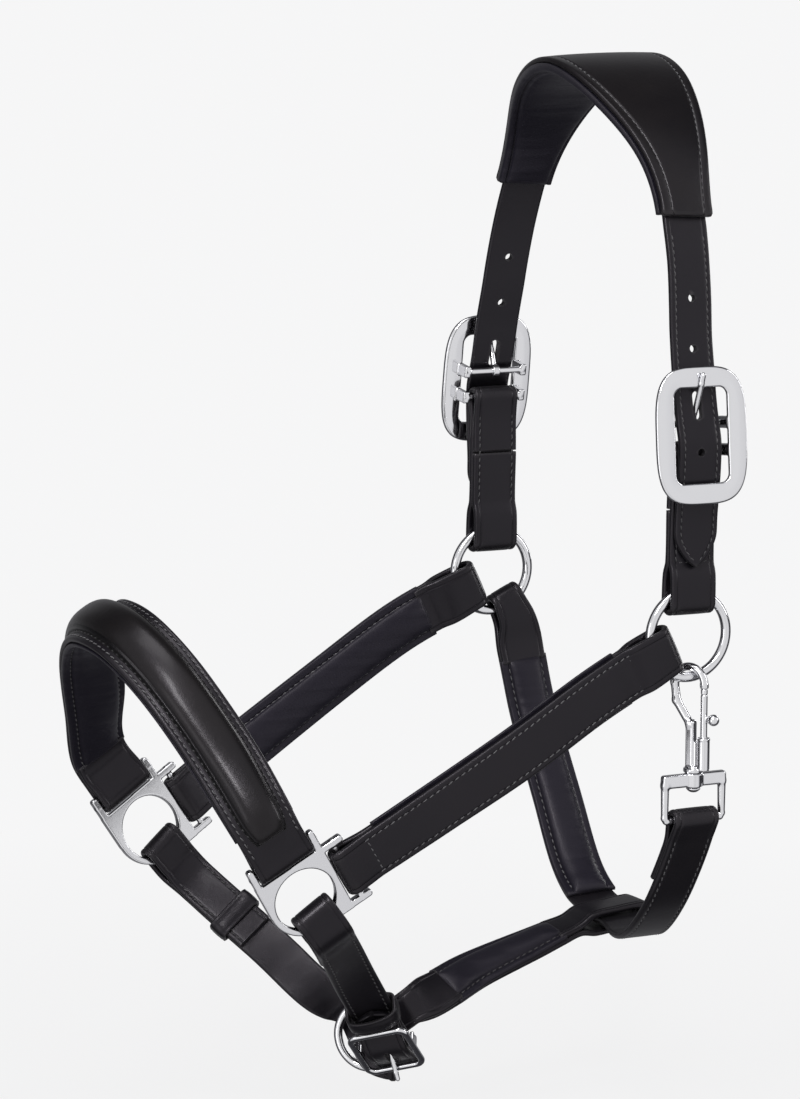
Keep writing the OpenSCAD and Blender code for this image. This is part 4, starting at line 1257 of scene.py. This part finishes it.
pair("buckle_frame", solid(buckle_field, (-26, -34.5, -12), (26, 34.5, 3.6), 0.5,
                           placer(*CROWN_BUCKLE)), STEEL, bodies=("collar", "collar"))
crown_tongue = tongue_field(loop_radius=3.05, loop_width=3.5, bore=1.87, tilt=TONGUE_TILT,
                            length=28.4, radius=1.47)
pair("buckle_tongue", solid(crown_tongue, (-2, -3.5, -3.5), (2, 27.5, 13), 0.28,
                            placer(*mount(CROWN, TONGUE_BAR, TONGUE_LIFT))), STEEL,
     bodies=("near_tongue", "far_tongue"))

CHIN_BUCKLE = mount(NEAR_CHIN, NEAR_CHIN.length - 16.5, 5.9, -9.4)
_, chin_bar_y, chin_bar_z = local(CHIN_BUCKLE, mount(NEAR_CHIN, CHIN_BAR, 0)[0] - CHIN_BUCKLE[0])


def chin_buckle_field(points):
    """A rectangular frame with one bar on lugs behind it."""
    x, y, z = split(points)
    outline = meet(rectangle(x, y, 0, 0, 16, 17, 5.5),
                   -rectangle(x, y, 0, 0, 12.8, 13.8, 3), 0.3)
    rim = rounded(outline, np.abs(z - 1.3) - 1.3, 1.05)
    bar = capsule(points, (-13.4, chin_bar_y, chin_bar_z), (13.4, chin_bar_y, chin_bar_z), 1.48)
    for side in (-1, 1):
        lug = box(points, (side * 13.75, chin_bar_y, (chin_bar_z + 0.2) / 2),
                  (0.95, 2.9, (1.8 - chin_bar_z) / 2 + 0.4), 0.5)
        bar = join(bar, lug, 0.6)
    return join(rim, bar, 0.6)


piece("chin_buckle_frame", solid(chin_buckle_field, (-16.5, -17.5, -9), (16.5, 17.5, 3), 0.36,
                                 placer(*CHIN_BUCKLE)), STEEL)
chin_tongue = tongue_field(loop_radius=2.65, loop_width=3.1, bore=1.62, tilt=30.4, length=21.4,
                           radius=1.27)
piece("chin_buckle_tongue", solid(chin_tongue, (-2, -3, -3), (2, 19.5, 13), 0.26,
                                  placer(*mount(NEAR_CHIN, CHIN_BAR, 0))), STEEL)

# ---------------------------------------------------------------- trigger snap
# Upright about its swivel axis; the hook opens to its own -x, over the bolt.
HOOK_AXIS = vec(-0.5, 0.866, 0)
on_snap = placer(vec(SNAP_X, SNAP_Y, 0), HOOK_AXIS, vec(-HOOK_AXIS[1], HOOK_AXIS[0], 0),
                 vec(0, 0, 1))
HOOK_Z = 189.2            # centre of the hook's arc
BOLT_X = -5.5             # axis of bolt, barrel and spring
KNOB_Z = 172              # height of the bolt's thumb knob


def hook_field(points):
    x, y, z = split(points)
    arc_x, arc_z = x - 3, z - HOOK_Z
    flatten = 1.0 + 0.08 * np.cos(np.arctan2(arc_z, arc_x))
    ends = [np.linalg.norm(points - vec(end_x, 0, HOOK_Z), axis=-1) for end_x in (11.5, BOLT_X)]
    arc = np.where(arc_z >= 0, np.hypot(np.hypot(arc_x, arc_z) - 8.5, y * flatten) - 2.0,
                   np.minimum(*ends) - 2.0)
    back = join(capsule(points, (11.5, 0, HOOK_Z), (10.2, 0, 180), 2.05, 2.25),
                capsule(points, (10.2, 0, 180), (2.5, 0, 169), 2.3, 2.2), 1.2)
    body = box(points, (1.7, 0, 158.3), (2.3, 2.3, 12.4), 1.1)
    barrel = join(upright(points, (BOLT_X, 0, 154.25), 3.1, 8.25, 0.5),
                  upright(points, (BOLT_X, 0, 161.9), 3.3, 0.6, 0.35), 0.4)
    web = box(points, (-2, 0, 154), (3.6, 1.45, 6.2), 0.5)
    base = upright(points, (0, 0, 145.8), 5.2, 1.25, 0.9)
    collar = upright(points, (0, 0, 147.2), 4.1, 0.7, 0.5)
    nose = upright(points, (BOLT_X, 0, 188.8), 2.2, 1.25, 0.3)
    post = upright(points, (0, 0, 141), 1.9, 5.2, 0.2)
    head = np.maximum(np.linalg.norm(points - vec(0, 0, 138.6), axis=-1) - 4.3,
                      np.maximum(z - 136.8, 134.5 - z))
    head = np.maximum(head, np.hypot(x, y) - 3.6)
    hook = join(join(arc, back, 1.4), body, 1.6)
    hook = join(join(hook, barrel, 0.8), web, 0.8)
    hook = join(join(hook, base, 0.9), collar, 0.4)
    hook = join(hook, nose, 0.6)
    hook = join(np.minimum(hook, post), head, 0.4)
    bore = np.maximum(np.hypot(x - BOLT_X, y) - 1.86, np.maximum(148.5 - z, z - 164.5))
    return meet(hook, -bore, 0.1)


def bolt_field(points):
    """A sliding rod, grooved near its top, with a collared knob to the side."""
    x, y, z = split(points)
    shaft = upright(points, (BOLT_X, 0, 174.15), 1.75, 13.15, 0.35)
    groove = np.hypot(np.hypot(x - BOLT_X, y) - 1.9, z - 184.4) - 0.4
    shaft = meet(shaft, -groove, 0.2)
    stem = capsule(points, (-6, 0, KNOB_Z), (-10.5, 0, KNOB_Z), 1.2)
    collar = np.maximum(np.hypot(y, z - KNOB_Z) - 1.75, np.abs(x + 8.3) - 0.45)
    knob = np.linalg.norm(points - vec(-11, 0, KNOB_Z), axis=-1) - 2.9
    return join(join(shaft, join(stem, collar, 0.3), 0.5), knob, 0.5)


def eye_field(points):
    """The swivel's oblong loop, its top bored for the hook's post."""
    x, y, z = split(points)
    foot = EYE_Z + 1.5
    top = box(points, (0, 0, 140.8), (18, 2.4, 3.4), 1.5)
    boss = upright(points, (0, 0, 140.75), 4.4, 3.5, 0.7)
    legs = np.minimum(*[capsule(points, (leg, 0, foot), (leg, 0, 139), 1.85, 2.1)
                        for leg in (-16.2, 16.2)])
    bar = capsule(points, (-15.2, 0, EYE_Z), (15.2, 0, EYE_Z), 1.95)
    corners = np.minimum(*[capsule(points, (side * 15.2, 0, EYE_Z), (side * 16.2, 0, foot), 1.95)
                           for side in (-1, 1)])
    eye = join(join(top, boss, 1.0), join(legs, join(bar, corners, 0.4), 0.5), 1.4)
    return meet(eye, 2.1 - np.hypot(x, y), 0.15)


def spring_shell():
    """A coil whose first and last turns close up."""
    share = np.linspace(0, 1, 340)
    turns, radius, bottom, top = 8.5, 1.36, 149.0, 160.5
    rise = 0.06 * ease(share * 8) + 0.88 * share + 0.06 * ease((share - 0.875) * 8)
    angle = 2 * np.pi * turns * share
    coil = np.stack([BOLT_X + radius * np.cos(angle), radius * np.sin(angle),
                     bottom + (top - bottom) * rise], 1)
    return rod(on_snap(coil), radius=0.32, size=12)


piece("snap_hook", solid(hook_field, (-9, -5.5, 134), (14.2, 5.5, 200), 0.36, on_snap), STEEL)
piece("snap_bolt", solid(bolt_field, (-14.2, -3.2, 160.6), (-3.4, 3.2, 187.8), 0.26, on_snap),
      STEEL)
piece("snap_eye", solid(eye_field, (-18.6, -4.8, 118.5), (18.6, 4.8, 144.6), 0.36,
                        placer(vec(SNAP_X, SNAP_Y, 0), *np.eye(3))), STEEL)
spring = piece("snap_spring", spring_shell(), CAST)
tuple(on_snap((BOLT_X, 0, 148.6)) * MM)
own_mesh(spring)

# ---------------------------------------------------------------- material groups, looked up for each piece; nothing is kept
SLOTS = {"metal": (STEEL, CAST), "lining": (LINING,),
         "leather": (BRIDLE, POLL, ROLL, BLACK_THREAD, GREY_THREAD)}
for ob in PIECES:
    for slot, materials in SLOTS.items():
        ob.data.materials[0] in materials

# ---------------------------------------------------------------- floor
BACKDROP = (0.922, 0.922, 0.926)
FLOOR_DROP, FLOOR_HALF = 0.020, 14.0


def floor_material():
    """Lit paper near the halter, an even backdrop further off; unseen from below, in mirrors."""
    material, graph, place = new_material("paper_floor")
    math = graph.math
    noise = graph.noise(place, Scale=9.0, Detail=4.0)
    tint = graph.ramp(noise, [(0.3, (0.60, 0.60, 0.605)), (0.7, (0.62, 0.62, 0.625))])
    paper = graph.node("BsdfPrincipled", Base_Color=tint, Roughness=0.9, Specular_IOR_Level=0.1)
    below = graph.node("NewGeometry").outputs["Backfacing"]
    clear = graph.node("BsdfTransparent").outputs[0]
    glow = graph.node("Emission", Color=BACKDROP, Strength=1.0).outputs[0]
    spot = graph.node("SeparateXYZ", Vector=place).outputs
    x, y = math("SUBTRACT", spot["X"], 0.02), spot["Y"]
    away = math("SQRT", math("ADD", math("MULTIPLY", x, x), math("MULTIPLY", y, y)))
    near = graph.ramp(math("MULTIPLY", away, 0.8), [(0.10, gray(0.08)), (0.55, gray(0))])
    seen = graph.mix_shader(near, glow, paper.outputs[0])
    dim = graph.node("Emission", Color=(0.9, 0.9, 0.91), Strength=0.25).outputs[0]
    ray = graph.node("LightPath").outputs
    lit = graph.mix_shader(ray["Is Diffuse Ray"], seen, dim)
    hidden = math("MAXIMUM", below, ray["Is Glossy Ray"])
    graph.feed(graph.output, graph.mix_shader(hidden, lit, clear))
    return material


floor_z = START[0][2] - FLOOR_DROP
paper_floor = floor_material()
floor = new_object("floor", [(x * FLOOR_HALF, y * FLOOR_HALF, floor_z)
                             for x, y in ((-1, -1), (1, -1), (1, 1), (-1, 1))], [(0, 1, 2, 3)])
floor.data.materials.append(paper_floor)

# ---------------------------------------------------------------- lights
LIGHTS_AIM = Vector((0.016, 0.0, 0.25))
# name, place, width, height, watts
LIGHTS = [
    ("key", (-1.2, -1.3, 1.9), 0.32, 1.1, 25),
    ("fill", (2.0, -0.9, 0.9), 0.4, 1.4, 8),
    ("top", (-0.3, -0.2, 2.3), 0.9, 0.9, 9),
    ("rim", (2.1, 1.1, 0.7), 0.5, 1.4, 6),
    ("low", (-1.6, -0.6, 0.25), 0.4, 1.1, 2.5)]
for name, place, width, height, power in LIGHTS:
    light = bpy.data.lights.new(name, "AREA")
    light.energy = power
    light.shape = "RECTANGLE"
    light.size = width
    light.size_y = height
    lamp = bpy.data.objects.new(name, light)
    lamp.location = place
    lamp.rotation_euler = (LIGHTS_AIM - Vector(place)).to_track_quat("-Z", "Y").to_euler()
    bpy.context.scene.collection.objects.link(lamp)
    lamp.visible_camera = False

# ---------------------------------------------------------------- world
TOWARD_CAMERA = {"X": -0.450, "Y": -0.877, "Z": 0.167}
# what metal mirrors, from straight away from the camera (0) to straight toward it (1)
ROOM = [(0.0, (0.26, 0.26, 0.27)), (0.12, (0.24, 0.24, 0.25)), (0.22, (0.08, 0.08, 0.085)),
        (0.40, (0.025, 0.025, 0.03)), (0.52, (0.06, 0.06, 0.065)), (0.60, (0.62, 0.62, 0.64)),
        (0.72, (0.80, 0.80, 0.81)), (1.0, (0.92, 0.92, 0.92))]


def build_world():
    """A striped room for mirrors, a plain backdrop for the camera, soft light for the rest."""
    world = bpy.data.worlds.new("studio")
    bpy.context.scene.world = world
    graph = Graph(world, "OutputWorld")
    math = graph.math
    generated = graph.node("TexCoord").outputs["Generated"]
    toward = graph.node("SeparateXYZ", Vector=generated).outputs
    x, y, z = (math("MULTIPLY", toward[axis], share) for axis, share in TOWARD_CAMERA.items())
    front = math("ADD", math("ADD", x, y), z)
    azimuth = math("ARCTAN2", toward["Y"], toward["X"])
    wave = math("SINE", math("ADD", math("MULTIPLY", azimuth, 5.0), 0.6))
    stripe = math("MULTIPLY", math("ADD", wave, 1.0), 0.5)
    shade = graph.ramp(math("ADD", math("MULTIPLY", front, 0.5), 0.5), ROOM)
    dark = math("ADD", math("MULTIPLY", math("POWER", stripe, 0.8), 0.16), 0.84)
    mirrored = graph.mix("RGBA", 1.0, shade, dark, blend_type="MULTIPLY")
    room = graph.node("Background", Color=mirrored, Strength=1.0).outputs[0]
    plain = graph.node("Background", Color=BACKDROP, Strength=1.0).outputs[0]
    soft = graph.node("Background", Color=(0.85, 0.86, 0.88), Strength=0.30).outputs[0]
    ray = graph.node("LightPath").outputs
    unseen = graph.mix_shader(ray["Is Glossy Ray"], soft, room)
    graph.feed(graph.output, graph.mix_shader(ray["Is Camera Ray"], unseen, plain))


build_world()

# ---------------------------------------------------------------- camera
CAMERA_AIM = Vector((0.0155, 0.0002, 0.2484))
CAMERA_DISTANCE, CAMERA_ROLL = 2.983, 0.0056      # metres, radians
azimuth, elevation = radians(-27.15), radians(9.63)
back = Vector((sin(azimuth) * cos(elevation), -cos(azimuth) * cos(elevation), sin(elevation)))
lens = bpy.data.cameras.new("camera")
lens.lens = 194.8
lens.sensor_width = 36
lens.sensor_fit = "AUTO"
lens.clip_end = 60
camera = bpy.data.objects.new("camera", lens)
bpy.context.scene.collection.objects.link(camera)
bpy.context.scene.camera = camera
camera.location = CAMERA_AIM + back * CAMERA_DISTANCE
camera.rotation_euler = (-back).to_track_quat("-Z", "Y").to_euler()
camera.rotation_euler.rotate_axis("Z", CAMERA_ROLL)
bpy.context.scene.view_settings.view_transform = "Standard"
bpy.context.scene.view_settings.look = "None"
